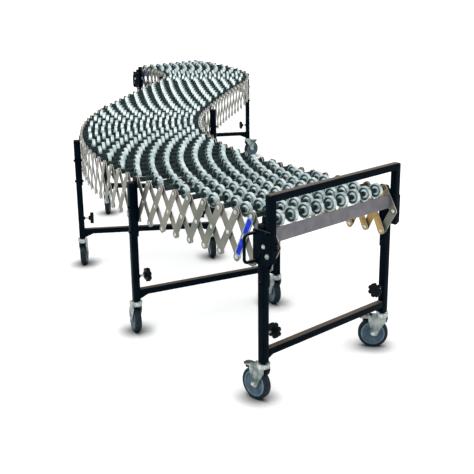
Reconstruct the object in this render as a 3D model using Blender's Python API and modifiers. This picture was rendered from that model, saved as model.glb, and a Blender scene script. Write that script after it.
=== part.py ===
"""Flexible skate-wheel conveyor, drawn out into an S on six castored stands.

Each side of the deck is a lattice of crossed links. An axle joins every pair of top
pivots and carries a row of skate wheels. Six stands of two tubes and a cross bar hold the
lattice, and each leg ends in a swivel caster. The deck bends and stretches because its
links fold: here the two cells at the front end fold, and the bays behind them are rigid.

Metres, +Z up. A rung is an axle's place along the deck. In a rung's own frame +X points
to the right of the deck, +Y along it to the far end, and z is the height above the floor.
"""

import math

import bmesh
import bpy
from mathutils import Matrix, Vector

# Course of the deck on the floor: where it heads at the front, then runs and their turns
HEADING = 133.1
PATH = ((0.170, 0.0), (0.390, -4.3), (1.857, -46.6), (1.320, -5.6), (1.297, 54.2))

# Stands: the rung that carries each, how far along the deck it is, and its turn on it
STAND_RUNGS = (0, 9, 20, 31, 48, 56)
STAND_PLACES = (0.0, 0.736, 1.628, 2.567, 4.299, 5.030)
STAND_TWISTS = (0.0, -7.0, -4.0, 3.0, 0.0, 0.0)

# Deck: axles, links and wheels
AXLE_HEIGHT = 0.691
AXLE_RADIUS = 0.005
AXLE_SIDES = 6
JOINED_AXLE_SIDES = 4  # of an axle that is joined to a rigid bay
LINK_LENGTH = 0.192  # between the top and bottom pivots
LINK_HALF = 0.016
LINK_THICKNESS = 0.003
LINK_BORE = 0.0062
SPACER_RADIUS = 0.006  # of the washer between two crossed links
BETWEEN_LINKS = 0.008  # from the middle of an outer link to the middle of an inner one
BAND_THICKNESS = 0.004  # the two crossed planes of links, where they are rigid
FREE_CELLS = 2
WHEEL_RADIUS = 0.030
WHEEL_WIDTH = 0.016
END_SPACER = 0.031  # from the end of a hub to the first wheel
WHEELS = 9  # in an even row; an odd row has one less, and lies between them
WHEEL_SIDES = 8
JOINED_WHEEL_SIDES = 6
JOINED_WHEEL_STEP = 2  # every second wheel of a joined row stands for the row
HUB_RADIUS = 0.0095
HUB_BORE = 0.0062
HUB_GAP = 0.002  # between a hub and the inner links
SPINNING_ROWS = 4

# Casters
CASTER_RADIUS = 0.0625
CASTER_WIDTH = 0.030
CASTER_TREAD = 0.018
CASTER_SHOULDER = CASTER_RADIUS - 0.010
CASTER_BORE = 0.0058
CASTER_SIDES = 12
CASTER_TRAIL = 0.036
CASTER_AXLE = 0.0052
FORK_GAP = 0.0015  # between the wheel and each cheek of the fork
FORK_PLATE = 0.003
FORK_FOOT = 0.012  # radius of a cheek round the wheel's axle
FORK_RING_RADIUS = 0.025
FORK_RING_THICKNESS = 0.022
FORK_HEADROOM = 0.008  # between the wheel and the ring
FORK_FRONT = 0.015  # front edge of a cheek, ahead of the swivel
FORK_SIDES = 10
PEDAL_BACK = 0.052
PEDAL_BARREL = 0.004
PEDAL_CLEARANCE = 0.00034  # between the barrel and the tyre's corners
PEDAL_LENGTH = 0.036
PEDAL_WIDTH = 0.034
PEDAL_THICKNESS = 0.004
PEDAL_SLOPE = 20.0
# Rest swivel of each stand's left and right caster, from straight along the deck
CASTER_SWIVELS = ((2.0, 38.0), (-8.0, -4.0), (-6.0, 4.0), (8.0, -5.0), (3.0, -62.0), (0.0, 12.0))

# Stands
LEG_SIDE = 0.350
TUBE = 0.030
WALL = 0.002
TUBE_BOTTOM = 2 * CASTER_RADIUS + FORK_HEADROOM + FORK_RING_THICKNESS
TUBE_TOP = AXLE_HEIGHT - 0.009
CAP = 0.005
CROSS_HEIGHT = TUBE_BOTTOM + 0.040
CROSS_BAR = 0.028
GUSSET_LENGTH = 0.045
GUSSET_DROP = 0.022
GUSSET_THICKNESS = 0.005
BRACKET_BOTTOM = AXLE_HEIGHT - 0.243
BRACKET_WIDTH = 0.046
BRACKET_THICKNESS = 0.004
INNER_TUBE = 0.025
INNER_LEG_LENGTH = 0.380

# Height knobs
KNOB_RADIUS = 0.030
KNOB_CLEARANCE = 0.027  # over the cross bar
KNOB_HEIGHT = CROSS_HEIGHT + CROSS_BAR / 2 + KNOB_CLEARANCE + KNOB_RADIUS
KNOB_THICKNESS = 0.018
KNOB_OUT = 0.041  # from the tube's face to the middle of the knob
KNOB_STEM = 0.005
KNOB_SIDES = 10
STEM_BORE = 0.0062

# Ends of the deck
END_PLATE_FRONT = 0.052
END_PLATE_BACK = 0.034
END_PLATE_TOP = TUBE_TOP - 0.015
END_PLATE_BOTTOM = END_PLATE_TOP - 0.129
END_PLATE_THICKNESS = 0.004
STOP_TUBE = 0.028
STOP_TOP = AXLE_HEIGHT + 0.107
STOP_BOTTOM = END_PLATE_BOTTOM + 0.008
STOP_CORNER = 0.008
STOP_FORWARD = 0.038  # from the end stand's middle to the middle of the stop
CHANNEL_TOP = AXLE_HEIGHT - 0.021
CHANNEL_HEIGHT = 0.053
CHANNEL_BACK = 0.026  # edges of its flanges, forward of the end axle
CHANNEL_FRONT = 0.030  # top of its web
CHANNEL_LEAN = 0.004  # of the web's foot, forward of its top
CHANNEL_WALL = 0.003
CROSSING_FORWARD = 0.050  # from the end axle to the crossing of the end's half links
CROSSING_DROP = 0.085
CHEEK_THICKNESS = 0.002
CHEEK_MARGIN = 0.002
CHEEK_BORE = 0.0062
FAR_CHEEK_GAP = 0.0008  # the last bay bends a little towards one cheek
HANDLE_TOP = END_PLATE_TOP - 0.0145
HANDLE_BOTTOM = END_PLATE_BOTTOM + 0.011
HANDLE_OUT = 0.050
HANDLE_BACK = 0.025
HANDLE_BEND = 0.012
HANDLE_RADIUS = 0.006

SHARP_ANGLE = 50.0  # between faces that are shaded apart

# Fits
GAP = 0.0003
SIDE_GAP = 0.0005  # between plates that slide past each other
OVERLAP = 0.0005  # of solids that a union joins
OVERRUN = 0.002  # of a cutter past what it cuts

MATERIALS = {
    "black_steel": ((0.012, 0.014, 0.018), 0.38, 0.2),
    "zinc_steel": ((0.56, 0.57, 0.55), 0.34, 0.9),
    "bright_wheel": ((0.60, 0.70, 0.71), 0.25, 0.9),
    "caster_hub": ((0.10, 0.17, 0.24), 0.45, 0.0),
    "black_plastic": ((0.010, 0.011, 0.012), 0.5, 0.0),
    "grey_channel": ((0.36, 0.35, 0.38), 0.45, 0.5),
}


# Scene
for old in list(bpy.data.objects):
    bpy.data.objects.remove(old, do_unlink=True)
PARTS = bpy.data.collections.new("flexible_skate_wheel_conveyor")
SHAPES = bpy.data.collections.new("joined_and_cutting_shapes")
for group in (PARTS, SHAPES):
    bpy.context.scene.collection.children.link(group)
ROOT = bpy.data.objects.new("conveyor_root", None)
PARTS.objects.link(ROOT)


def material(name):
    """The named material, made at its first use."""
    found = bpy.data.materials.get(name)
    if found:
        return found
    colour, roughness, metallic = MATERIALS[name]
    made = bpy.data.materials.new(name)
    made.use_nodes = True
    surface = made.node_tree.nodes["Principled BSDF"]
    surface.inputs["Base Color"].default_value = (*colour, 1.0)
    surface.inputs["Roughness"].default_value = roughness
    surface.inputs["Metallic"].default_value = metallic
    return made


def add(name, mesh, finish, place):
    """A part: this mesh under the root, with its origin at the place matrix."""
    part = bpy.data.objects.new(name, mesh)
    mesh.materials.clear()
    mesh.materials.append(material(finish))
    PARTS.objects.link(part)
    part.parent = ROOT
    part.matrix_basis = place
    return part


def combine(part, mesh, operation):
    """A Boolean of the part with this mesh, which is given in the part's own frame."""
    shape = bpy.data.objects.new(f"{part.name}_{operation.lower()}", mesh)
    SHAPES.objects.link(shape)
    shape.parent = ROOT
    shape.matrix_basis = part.matrix_basis
    shape.hide_render = True
    shape.display_type = "WIRE"
    change = part.modifiers.new(operation.lower(), "BOOLEAN")
    change.operation = operation
    change.object = shape


def fuse(part, *meshes):
    combine(part, merged(*meshes), "UNION")


def cut(part, *meshes):
    combine(part, merged(*meshes), "DIFFERENCE")


# Basic shapes, each a mesh
def finished(shape, place=None):
    """The mesh of this bmesh, moved by the place matrix."""
    if place:
        bmesh.ops.transform(shape, matrix=place, verts=shape.verts)
    bmesh.ops.recalc_face_normals(shape, faces=shape.faces)
    mesh = bpy.data.meshes.new("shape")
    shape.to_mesh(mesh)
    shape.free()
    return mesh


def merged(*meshes):
    """One mesh that holds all of these, which don't meet each other."""
    whole = bmesh.new()
    for mesh in meshes:
        whole.from_mesh(mesh)
    return finished(whole)


def box(low, high):
    """A box between two corners."""
    shape = bmesh.new()
    bmesh.ops.create_cube(shape, size=1.0)
    low, high = Vector(low), Vector(high)
    return finished(shape, Matrix.Translation((low + high) / 2) @ Matrix.Diagonal((*(high - low), 1.0)))


def rod(radius, start, end, sides):
    """A bar between two points whose section is a polygon with a flat on top."""
    start, end = Vector(start), Vector(end)
    run = end - start
    shape = bmesh.new()
    bmesh.ops.create_cone(
        shape, cap_ends=True, segments=sides, radius1=radius, radius2=radius, depth=run.length
    )
    turn = run.to_track_quat("Z", "Y").to_matrix().to_4x4() @ Matrix.Rotation(math.pi / sides, 4, "Z")
    return finished(shape, Matrix.Translation((start + end) / 2) @ turn)


def corner_radius(radius, sides):
    """Radius to the corners of a polygon whose flats are this far out."""
    return radius / math.cos(math.pi / sides)


def flat_plate(outlines, thickness, place):
    """A plate from closed outlines in its own X and Y, the first one the edge and the rest holes."""
    data = bpy.data.curves.new("outline", "CURVE")
    data.dimensions = "2D"
    data.fill_mode = "BOTH"
    data.extrude = thickness / 2
    for outline in outlines:
        spline = data.splines.new("POLY")
        spline.points.add(len(outline) - 1)
        for point, (x, y) in zip(spline.points, outline):
            point.co = (x, y, 0.0, 1.0)
        spline.use_cyclic_u = True
    mesh = solid_of_curve(data)
    mesh.transform(place)
    return mesh


def solid_of_curve(data):
    """The closed mesh of a curve, with its caps welded on."""
    guide = bpy.data.objects.new("guide", data)
    SHAPES.objects.link(guide)
    graph = bpy.context.evaluated_depsgraph_get()
    shape = bmesh.new()
    shape.from_mesh(bpy.data.meshes.new_from_object(guide.evaluated_get(graph)))
    bpy.data.objects.remove(guide, do_unlink=True)
    bmesh.ops.remove_doubles(shape, verts=shape.verts, dist=GAP / 10)
    return finished(shape)


def circle(radius, sides, centre=(0.0, 0.0), start=0.0, turn=2 * math.pi, closed=True):
    """Points of an arc: a whole circle, or with closed False its two ends as well."""
    steps = sides if closed else sides - 1
    angles = [start + turn * step / steps for step in range(sides)]
    return [(centre[0] + radius * math.cos(a), centre[1] + radius * math.sin(a)) for a in angles]


def turned(name, profile, sides, finish, place):
    """A ring turned about its X axis from a closed profile of (along X, radius) points."""
    shape = bmesh.new()
    corners = [shape.verts.new((x, 0.0, radius)) for x, radius in profile]
    for this, following in zip(corners, corners[1:] + corners[:1]):
        shape.edges.new((this, following))
    mesh = bpy.data.meshes.new(name)
    shape.to_mesh(mesh)
    shape.free()
    part = add(name, mesh, finish, place)
    screw = part.modifiers.new("turn", "SCREW")
    screw.axis = "X"
    screw.steps = sides
    screw.render_steps = sides
    screw.use_normal_flip = True
    screw.use_merge_vertices = True
    screw.merge_threshold = GAP / 10
    return part


# Sides of the deck, out from its middle: from the legs in to the hubs of the wheels
BRACKET_INNER_SIDE = LEG_SIDE - TUBE / 2 - BRACKET_THICKNESS
FRONT_CHEEK_SIDE = BRACKET_INNER_SIDE - SIDE_GAP - CHEEK_THICKNESS
OUTER_LINK_SIDE = FRONT_CHEEK_SIDE - SIDE_GAP - LINK_THICKNESS / 2
INNER_LINK_SIDE = OUTER_LINK_SIDE - BETWEEN_LINKS
HUB_HALF = INNER_LINK_SIDE - LINK_THICKNESS / 2 - HUB_GAP
WHEEL_SPACING = 2 * (HUB_HALF - END_SPACER - WHEEL_WIDTH / 2) / (WHEELS - 1)
BAND_SIDE = (OUTER_LINK_SIDE + INNER_LINK_SIDE) / 2
FAR_CHEEK_SIDE = BAND_SIDE + BAND_THICKNESS / 2 + FAR_CHEEK_GAP


# Frames along the deck
def along(distance):
    """Place and heading of the middle of the deck, this far from the front end."""
    x = y = 0.0
    heading = math.radians(HEADING)
    for length, turn in PATH:
        run = min(distance, length)
        bend = math.radians(turn) * run / length
        chord = run * math.sin(bend / 2) / (bend / 2) if bend else run
        x += chord * math.cos(heading + bend / 2)
        y += chord * math.sin(heading + bend / 2)
        heading += bend
        distance -= run
    return x, y, heading


def bay_of(rung):
    """The stand before this rung, and how much of the way to the next stand it is."""
    last = len(STAND_RUNGS) - 2
    stand = max(n for n in range(last + 1) if STAND_RUNGS[n] <= rung)
    return stand, (rung - STAND_RUNGS[stand]) / (STAND_RUNGS[stand + 1] - STAND_RUNGS[stand])


def frame(rung):
    """Matrix of the rung's own frame."""
    stand, share = bay_of(rung)
    place = STAND_PLACES[stand] + share * (STAND_PLACES[stand + 1] - STAND_PLACES[stand])
    if stand == 0:
        share = max(0.0, (rung - FREE_CELLS) / (STAND_RUNGS[1] - FREE_CELLS))
    twist = STAND_TWISTS[stand] + share * (STAND_TWISTS[stand + 1] - STAND_TWISTS[stand])
    x, y, heading = along(place)
    turn = Matrix.Rotation(heading + math.radians(twist) - math.pi / 2, 4, "Z")
    return Matrix.Translation((x, y, 0.0)) @ turn


def pivot(rung, side, offset=0.0):
    """The top pivot on the left (side -1) or right (side 1), offset outwards from the band."""
    return frame(rung) @ Vector((side * (BAND_SIDE + offset), 0.0, AXLE_HEIGHT))


def pitch(rung, side):
    """How far this rung's pivot is from the next one."""
    return (pivot(rung + 1, side) - pivot(rung, side)).length


def pivot_drop(rung, side):
    """Height from the bottom pivot under this rung to the top pivot."""
    cells = [pitch(n, side) for n in (rung - 1, rung) if 0 <= n < STAND_RUNGS[-1]]
    return math.sqrt(LINK_LENGTH**2 - (sum(cells) / len(cells)) ** 2)


def in_frame(rung, x=0.0, y=0.0, z=0.0):
    return frame(rung) @ Matrix.Translation((x, y, z))


# Rigid bays of the deck
def band(first, last, side, overhang, shortfall):
    """Both planes of links from one rung to another, as one flat lattice laid along the pivots."""
    columns = range(first, last + 1)
    drops = {n: pivot_drop(n, side) for n in columns}
    half = {n: LINK_HALF * LINK_LENGTH / pitch(min(n, last - 1), side) for n in columns}
    start = first - overhang / pitch(first, side)
    end = last - shortfall / pitch(last - 1, side)

    def place_on(n):
        return start if n == first else end if n == last else n

    def middle(n):
        drop = (drops[n] + drops[n + 1]) / 2
        thick = (half[n] + half[n + 1]) / 2
        return AXLE_HEIGHT - drop / 2, thick, thick / drop

    top = []
    bottom = []
    holes = []
    for n in columns:
        top.append((place_on(n), AXLE_HEIGHT + LINK_HALF))
        bottom.append((place_on(n), AXLE_HEIGHT - drops[n] - LINK_HALF))
        if n < last:
            height, thick, _ = middle(n)
            top.append((n + 0.5, height + thick))
            bottom.append((n + 0.5, height - thick))
        if first < n < last:
            before, _, slack_before = middle(n - 1)
            after, _, slack_after = middle(n)
            holes.append(
                [
                    (n, AXLE_HEIGHT - half[n]),
                    (n + 0.5 - slack_after, after),
                    (n, AXLE_HEIGHT - drops[n] + half[n]),
                    (n - 0.5 + slack_before, before),
                ]
            )
    height, _, slack = middle(last - 1)
    far_edge = [
        (end, AXLE_HEIGHT - half[last]),
        (last - 0.5 + slack, height),
        (end, AXLE_HEIGHT - drops[last] + half[last]),
    ]
    height, _, slack = middle(first)
    near_edge = [
        (start, AXLE_HEIGHT - drops[first] + half[first]),
        (first + 0.5 - slack, height),
        (start, AXLE_HEIGHT - half[first]),
    ]
    outline = top + far_edge + bottom[::-1] + near_edge
    mesh = flat_plate([outline, *holes], BAND_THICKNESS, Matrix.Identity(4))
    for vertex in mesh.vertices:
        rung, height, depth = vertex.co
        before = min(max(math.floor(rung), first), last - 1)
        here = pivot(before, side, depth)
        there = pivot(before + 1, side, depth)
        vertex.co = here.lerp(there, rung - before)
        vertex.co.z = height
    shape = bmesh.new()
    shape.from_mesh(mesh)
    return finished(shape)


def wheel_middles(rung):
    """Where the wheels of this rung are, across the deck."""
    wheels = WHEELS - rung % 2
    return [(wheel - (wheels - 1) / 2) * WHEEL_SPACING for wheel in range(wheels)]


def rung_rod(rung, radius, low, high, sides):
    """A bar along this rung's axle between two places across the deck."""
    matrix = frame(rung)
    ends = [matrix @ Vector((x, 0.0, AXLE_HEIGHT)) for x in (low, high)]
    return rod(radius, *ends, sides)


def joined_wheels(rung):
    """The wheels that stand for a row of a rigid bay."""
    corner = corner_radius(WHEEL_RADIUS, JOINED_WHEEL_SIDES)
    half = WHEEL_WIDTH / 2
    middles = wheel_middles(rung)[::JOINED_WHEEL_STEP]
    return [rung_rod(rung, corner, x - half, x + half, JOINED_WHEEL_SIDES) for x in middles]


def axle_half(rung):
    """Half the length of a joined axle: into the lattice, and at a stand on to its brackets."""
    return BRACKET_INNER_SIDE - GAP if rung in STAND_RUNGS else BAND_SIDE


def deck_bay(number, first, last):
    """The rigid deck between two rungs: two lattices, and every axle but the last one."""
    ends_here = last == STAND_RUNGS[-1]
    tab = AXLE_RADIUS + OVERRUN
    shortfall = -tab if ends_here else tab + GAP
    sides = [band(first, last, side, tab, shortfall) for side in (-1, 1)]
    bay = add(f"deck_bay_{number}", merged(*sides), "zinc_steel", Matrix.Identity(4))
    rungs = range(first, last + 1 if ends_here else last)
    axles = []
    wheels = []
    for rung in rungs:
        half = axle_half(rung)
        axles.append(rung_rod(rung, AXLE_RADIUS, -half, half, JOINED_AXLE_SIDES))
        if rung >= SPINNING_ROWS:
            wheels += joined_wheels(rung)
    fuse(bay, *axles)
    fuse(bay, *wheels)


# Front cells that fold
def scissor_link(name, rung, side, inner):
    """A link hung from its axle: an outer one leans to the far end, an inner one to the front.

    An outer link also has the spacer that lies between it and the inner link it crosses.
    """
    lean = -1 if inner else 1
    cell = rung - 1 if inner else rung
    angle = math.asin(pitch(cell, side) / LINK_LENGTH)
    ends = circle(LINK_HALF, 5, (0.0, 0.0), 0.0, math.pi, closed=False)
    ends += circle(LINK_HALF, 5, (0.0, -LINK_LENGTH), math.pi, math.pi, closed=False)
    bore = circle(LINK_BORE, AXLE_SIDES, (0.0, 0.0), math.pi / AXLE_SIDES)
    upright = Matrix.Rotation(math.pi / 2, 4, "Z") @ Matrix.Rotation(math.pi / 2, 4, "X")
    mesh = flat_plate([ends, bore], LINK_THICKNESS, upright)
    reach = INNER_LINK_SIDE if inner else OUTER_LINK_SIDE
    tilt = Matrix.Rotation(lean * angle, 4, "X")
    link = add(name, mesh, "zinc_steel", in_frame(rung, side * reach, 0.0, AXLE_HEIGHT) @ tilt)
    if not inner:
        to_inner = OUTER_LINK_SIDE - INNER_LINK_SIDE - LINK_THICKNESS / 2 - GAP
        start = LINK_THICKNESS / 2 - OVERLAP
        ends = [(-side * x, 0.0, -LINK_LENGTH / 2) for x in (start, to_inner)]
        fuse(link, rod(SPACER_RADIUS, *ends, AXLE_SIDES))


def folding_cells():
    for side, hand in ((-1, "left"), (1, "right")):
        for cell in range(FREE_CELLS):
            scissor_link(f"outer_link_{cell + 1}_{hand}", cell, side, inner=False)
            scissor_link(f"inner_link_{cell + 1}_{hand}", cell + 1, side, inner=True)


def loose_axle(rung, half):
    ends = ((-half, 0.0, 0.0), (half, 0.0, 0.0))
    mesh = rod(AXLE_RADIUS, *ends, AXLE_SIDES)
    add(f"axle_{rung + 1}", mesh, "zinc_steel", in_frame(rung, z=AXLE_HEIGHT))


def wheel_row(rung):
    """All the skate wheels of one axle on a common hub, as one ring with a bore."""
    corner = corner_radius(WHEEL_RADIUS, WHEEL_SIDES)
    profile = [(-HUB_HALF, HUB_RADIUS)]
    for middle in wheel_middles(rung):
        for x, radius in (
            (-WHEEL_WIDTH / 2, HUB_RADIUS),
            (-WHEEL_WIDTH / 2, corner),
            (WHEEL_WIDTH / 2, corner),
            (WHEEL_WIDTH / 2, HUB_RADIUS),
        ):
            profile.append((middle + x, radius))
    profile += [(HUB_HALF, HUB_RADIUS), (HUB_HALF, HUB_BORE), (-HUB_HALF, HUB_BORE)]
    flat_up = Matrix.Rotation(math.pi / WHEEL_SIDES, 4, "X")
    place = in_frame(rung, z=AXLE_HEIGHT) @ flat_up
    turned(f"wheel_row_{rung + 1}", profile, WHEEL_SIDES, "bright_wheel", place)


# Stands
def gusset(side):
    """The triangular plate under one end of a cross bar."""
    inner = LEG_SIDE - TUBE / 2 + OVERLAP
    under = CROSS_HEIGHT - CROSS_BAR / 2
    outline = [
        (side * inner, under - GUSSET_DROP),
        (side * inner, under + OVERLAP),
        (side * (inner - GUSSET_LENGTH), under + OVERLAP),
    ]
    return flat_plate([outline], GUSSET_THICKNESS, Matrix.Rotation(math.pi / 2, 4, "X"))


def knob_shapes(side):
    """Knob and stem on the inner face of a tube, for a knob that is joined to its stand."""
    face = LEG_SIDE - TUBE / 2
    middle = face - KNOB_OUT
    near, far = middle + KNOB_THICKNESS / 2, middle - KNOB_THICKNESS / 2
    stem = rod(
        KNOB_STEM,
        (side * (face + OVERLAP), 0.0, KNOB_HEIGHT),
        (side * (near - OVERLAP), 0.0, KNOB_HEIGHT),
        AXLE_SIDES,
    )
    head = rod(KNOB_RADIUS, (side * near, 0.0, KNOB_HEIGHT), (side * far, 0.0, KNOB_HEIGHT), KNOB_SIDES)
    return stem, head


def leg_bracket(side):
    """The strap on the inner face of a tube that carries the lattice."""
    x = sorted((side * BRACKET_INNER_SIDE, side * (LEG_SIDE - TUBE / 2 + OVERLAP)))
    half = BRACKET_WIDTH / 2
    return box((x[0], -half, BRACKET_BOTTOM), (x[1], half, AXLE_HEIGHT + LINK_HALF))


def end_plate(side, forward):
    """The plate on the outer face of an end stand's tube. Forward is -1 at the front end."""
    face = LEG_SIDE + TUBE / 2
    x = sorted((side * (face - OVERLAP), side * (face + END_PLATE_THICKNESS)))
    y = sorted((forward * END_PLATE_FRONT, -forward * END_PLATE_BACK))
    return box((x[0], y[0], END_PLATE_BOTTOM), (x[1], y[1], END_PLATE_TOP))


def stand(number):
    """Two outer tubes with a cross bar, gussets and brackets."""
    place = frame(STAND_RUNGS[number - 1])
    half = TUBE / 2
    tubes = []
    for side in (-1, 1):
        middle = side * LEG_SIDE
        tubes.append(box((middle - half, -half, TUBE_BOTTOM), (middle + half, half, TUBE_TOP)))
    part = add(f"stand_{number}", merged(*tubes), "black_steel", place)
    reach = LEG_SIDE - half + OVERLAP
    bar = box(
        (-reach, -CROSS_BAR / 2, CROSS_HEIGHT - CROSS_BAR / 2),
        (reach, CROSS_BAR / 2, CROSS_HEIGHT + CROSS_BAR / 2),
    )
    fuse(part, bar, leg_bracket(-1), leg_bracket(1))
    fuse(part, gusset(-1), gusset(1))
    if number in (1, len(STAND_RUNGS)):
        forward = -1 if number == 1 else 1
        fuse(part, end_plate(-1, forward), end_plate(1, forward))
    if number == 1:
        hollow_tubes(part)
    else:
        stems = [knob_shapes(side)[0] for side in (-1, 1)]
        fuse(part, *stems)
        heads = [knob_shapes(side)[1] for side in (-1, 1)]
        fuse(part, *heads)


def hollow_tubes(part):
    """Opens the tubes from below for the inner legs, and bores them for the knobs' stems."""
    half = TUBE / 2 - WALL
    bores = []
    for side in (-1, 1):
        middle = side * LEG_SIDE
        low = (middle - half, -half, TUBE_BOTTOM - OVERRUN)
        high = (middle + half, half, TUBE_TOP - CAP)
        cut(part, box(low, high))
        face = LEG_SIDE - TUBE / 2
        ends = [(side * x, 0.0, KNOB_HEIGHT) for x in (face - OVERRUN, face + WALL + OVERRUN)]
        bores.append(rod(STEM_BORE, *ends, AXLE_SIDES))
    cut(part, *bores)


def inner_leg(side, hand):
    half = INNER_TUBE / 2
    mesh = box((-half, -half, 0.0), (half, half, INNER_LEG_LENGTH))
    place = in_frame(STAND_RUNGS[0], side * LEG_SIDE, 0.0, TUBE_BOTTOM)
    add(f"inner_leg_{hand}", mesh, "black_steel", place)


def height_knob(side, hand):
    """A loose knob, whose stem ends at the face of the inner leg. Its origin is on the leg's face."""
    to_leg = TUBE / 2 - INNER_TUBE / 2 - GAP
    near, far = KNOB_OUT - KNOB_THICKNESS / 2, KNOB_OUT + KNOB_THICKNESS / 2
    head = rod(KNOB_RADIUS, (-side * near, 0.0, 0.0), (-side * far, 0.0, 0.0), KNOB_SIDES)
    place = in_frame(STAND_RUNGS[0], side * (LEG_SIDE - TUBE / 2), 0.0, KNOB_HEIGHT)
    part = add(f"height_knob_{hand}", head, "black_plastic", place)
    fuse(part, rod(KNOB_STEM, (side * to_leg, 0.0, 0.0), (-side * (near + OVERLAP), 0.0, 0.0), AXLE_SIDES))


# Ends
def end_stop():
    """The inverted U of square tube that stops goods at the front end."""
    outer = LEG_SIDE + TUBE / 2 - OVERLAP - GAP
    inner = outer - STOP_TUBE
    corner = STOP_CORNER
    outline = [
        (-outer, STOP_BOTTOM + corner),
        (-outer, STOP_TOP - corner),
        (-outer + corner, STOP_TOP),
        (outer - corner, STOP_TOP),
        (outer, STOP_TOP - corner),
        (outer, STOP_BOTTOM + corner),
        (outer - corner, STOP_BOTTOM),
        (inner + corner, STOP_BOTTOM),
        (inner, STOP_BOTTOM + corner),
        (inner, STOP_TOP - STOP_TUBE),
        (-inner, STOP_TOP - STOP_TUBE),
        (-inner, STOP_BOTTOM + corner),
        (-inner - corner, STOP_BOTTOM),
        (-outer + corner, STOP_BOTTOM),
    ]
    mesh = flat_plate([outline], STOP_TUBE, Matrix.Rotation(math.pi / 2, 4, "X"))
    add("end_stop", mesh, "black_steel", in_frame(STAND_RUNGS[0], 0.0, -STOP_FORWARD))


def end_cheek(rung):
    """Outline of the plate at a side of an end, as (forward of the axle, height) points.

    Two half links run from the axle forward to their crossing and back to the bottom pivot,
    and a tab hangs from the axle down to the channel.
    """
    low = AXLE_HEIGHT - (pivot_drop(rung, -1) + pivot_drop(rung, 1)) / 2
    crossing = (CROSSING_FORWARD, AXLE_HEIGHT - CROSSING_DROP)
    upper = math.atan2(CROSSING_FORWARD, CROSSING_DROP)
    lower = math.atan2(CROSSING_FORWARD, crossing[1] - low)
    both = math.sin(upper + lower)
    notch = (
        crossing[0] - LINK_HALF * (math.sin(upper) + math.sin(lower)) / both,
        crossing[1] + LINK_HALF * (math.cos(upper) - math.cos(lower)) / both,
    )
    tab_bottom = CHANNEL_TOP - CHANNEL_HEIGHT - CHEEK_MARGIN
    tab_front = ((AXLE_HEIGHT - tab_bottom) * math.sin(upper) - LINK_HALF) / math.cos(upper)
    return [
        *circle(LINK_HALF, 4, (0.0, AXLE_HEIGHT), math.pi, upper - math.pi, closed=False),
        *circle(LINK_HALF, 4, crossing, upper, -upper - lower, closed=False),
        *circle(LINK_HALF, 5, (0.0, low), -lower, -math.pi, closed=False),
        notch,
        (tab_front, tab_bottom),
        (-LINK_HALF, tab_bottom),
    ]


def end_channel(name, rung, forward, inner):
    """A channel across the deck's end, between two cheeks on the end axle. Forward is -1 at the front end."""
    top, bottom = CHANNEL_TOP, CHANNEL_TOP - CHANNEL_HEIGHT
    slant = CHANNEL_LEAN * CHANNEL_WALL / CHANNEL_HEIGHT
    foot = CHANNEL_FRONT + CHANNEL_LEAN
    section = [
        (foot, bottom),
        (CHANNEL_FRONT, top),
        (CHANNEL_BACK, top),
        (CHANNEL_BACK, top - CHANNEL_WALL),
        (CHANNEL_FRONT - CHANNEL_WALL + slant, top - CHANNEL_WALL),
        (foot - CHANNEL_WALL - slant, bottom + CHANNEL_WALL),
        (CHANNEL_BACK, bottom + CHANNEL_WALL),
        (CHANNEL_BACK, bottom),
    ]
    section = [(forward * y, z) for y, z in section]
    across = Matrix.Rotation(math.pi / 2, 4, "Z") @ Matrix.Rotation(math.pi / 2, 4, "X")
    part = add(name, flat_plate([section], 2 * (inner + OVERLAP), across), "grey_channel", frame(rung))
    cheek = [(forward * y, z) for y, z in end_cheek(rung)]
    bore = circle(CHEEK_BORE, AXLE_SIDES, (0.0, AXLE_HEIGHT), math.pi / AXLE_SIDES)
    middle = inner + CHEEK_THICKNESS / 2
    places = [Matrix.Translation((side * middle, 0.0, 0.0)) @ across for side in (-1, 1)]
    fuse(part, *[flat_plate([cheek, bore], CHEEK_THICKNESS, place) for place in places])


def grab_handle(name, rung, forward):
    """The D of round rod on the left end plate."""
    face = LEG_SIDE + TUBE / 2 + END_PLATE_THICKNESS + GAP
    tip = face + HANDLE_OUT
    y = -forward * HANDLE_BACK
    bend = HANDLE_BEND
    route = (
        (-face, HANDLE_TOP),
        (-tip + bend, HANDLE_TOP),
        (-tip, HANDLE_TOP - bend),
        (-tip, HANDLE_BOTTOM + bend),
        (-tip + bend, HANDLE_BOTTOM),
        (-face, HANDLE_BOTTOM),
    )
    data = bpy.data.curves.new(name, "CURVE")
    data.dimensions = "3D"
    data.bevel_depth = HANDLE_RADIUS
    data.bevel_resolution = 1
    data.use_fill_caps = True
    spline = data.splines.new("POLY")
    spline.points.add(len(route) - 1)
    for point, (x, z) in zip(spline.points, route):
        point.co = (x, y, z, 1.0)
    add(name, solid_of_curve(data), "black_steel", frame(rung))


# Casters
def caster_place(number, side, x=0.0, z=0.0):
    """Matrix of a caster: its own X runs back along the trail and its Y is the wheel's axle."""
    swivel = CASTER_SWIVELS[number - 1][0 if side < 0 else 1]
    turn = Matrix.Rotation(math.radians(90.0 + swivel), 4, "Z")
    return in_frame(STAND_RUNGS[number - 1], side * LEG_SIDE) @ turn @ Matrix.Translation((x, 0.0, z))


def pedal_height():
    """Height of a pedal's barrel, just clear of the tyre's corners."""
    reach = corner_radius(CASTER_RADIUS, CASTER_SIDES) + PEDAL_BARREL + PEDAL_CLEARANCE
    return CASTER_RADIUS + math.sqrt(reach**2 - (PEDAL_BACK - CASTER_TRAIL) ** 2)


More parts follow.
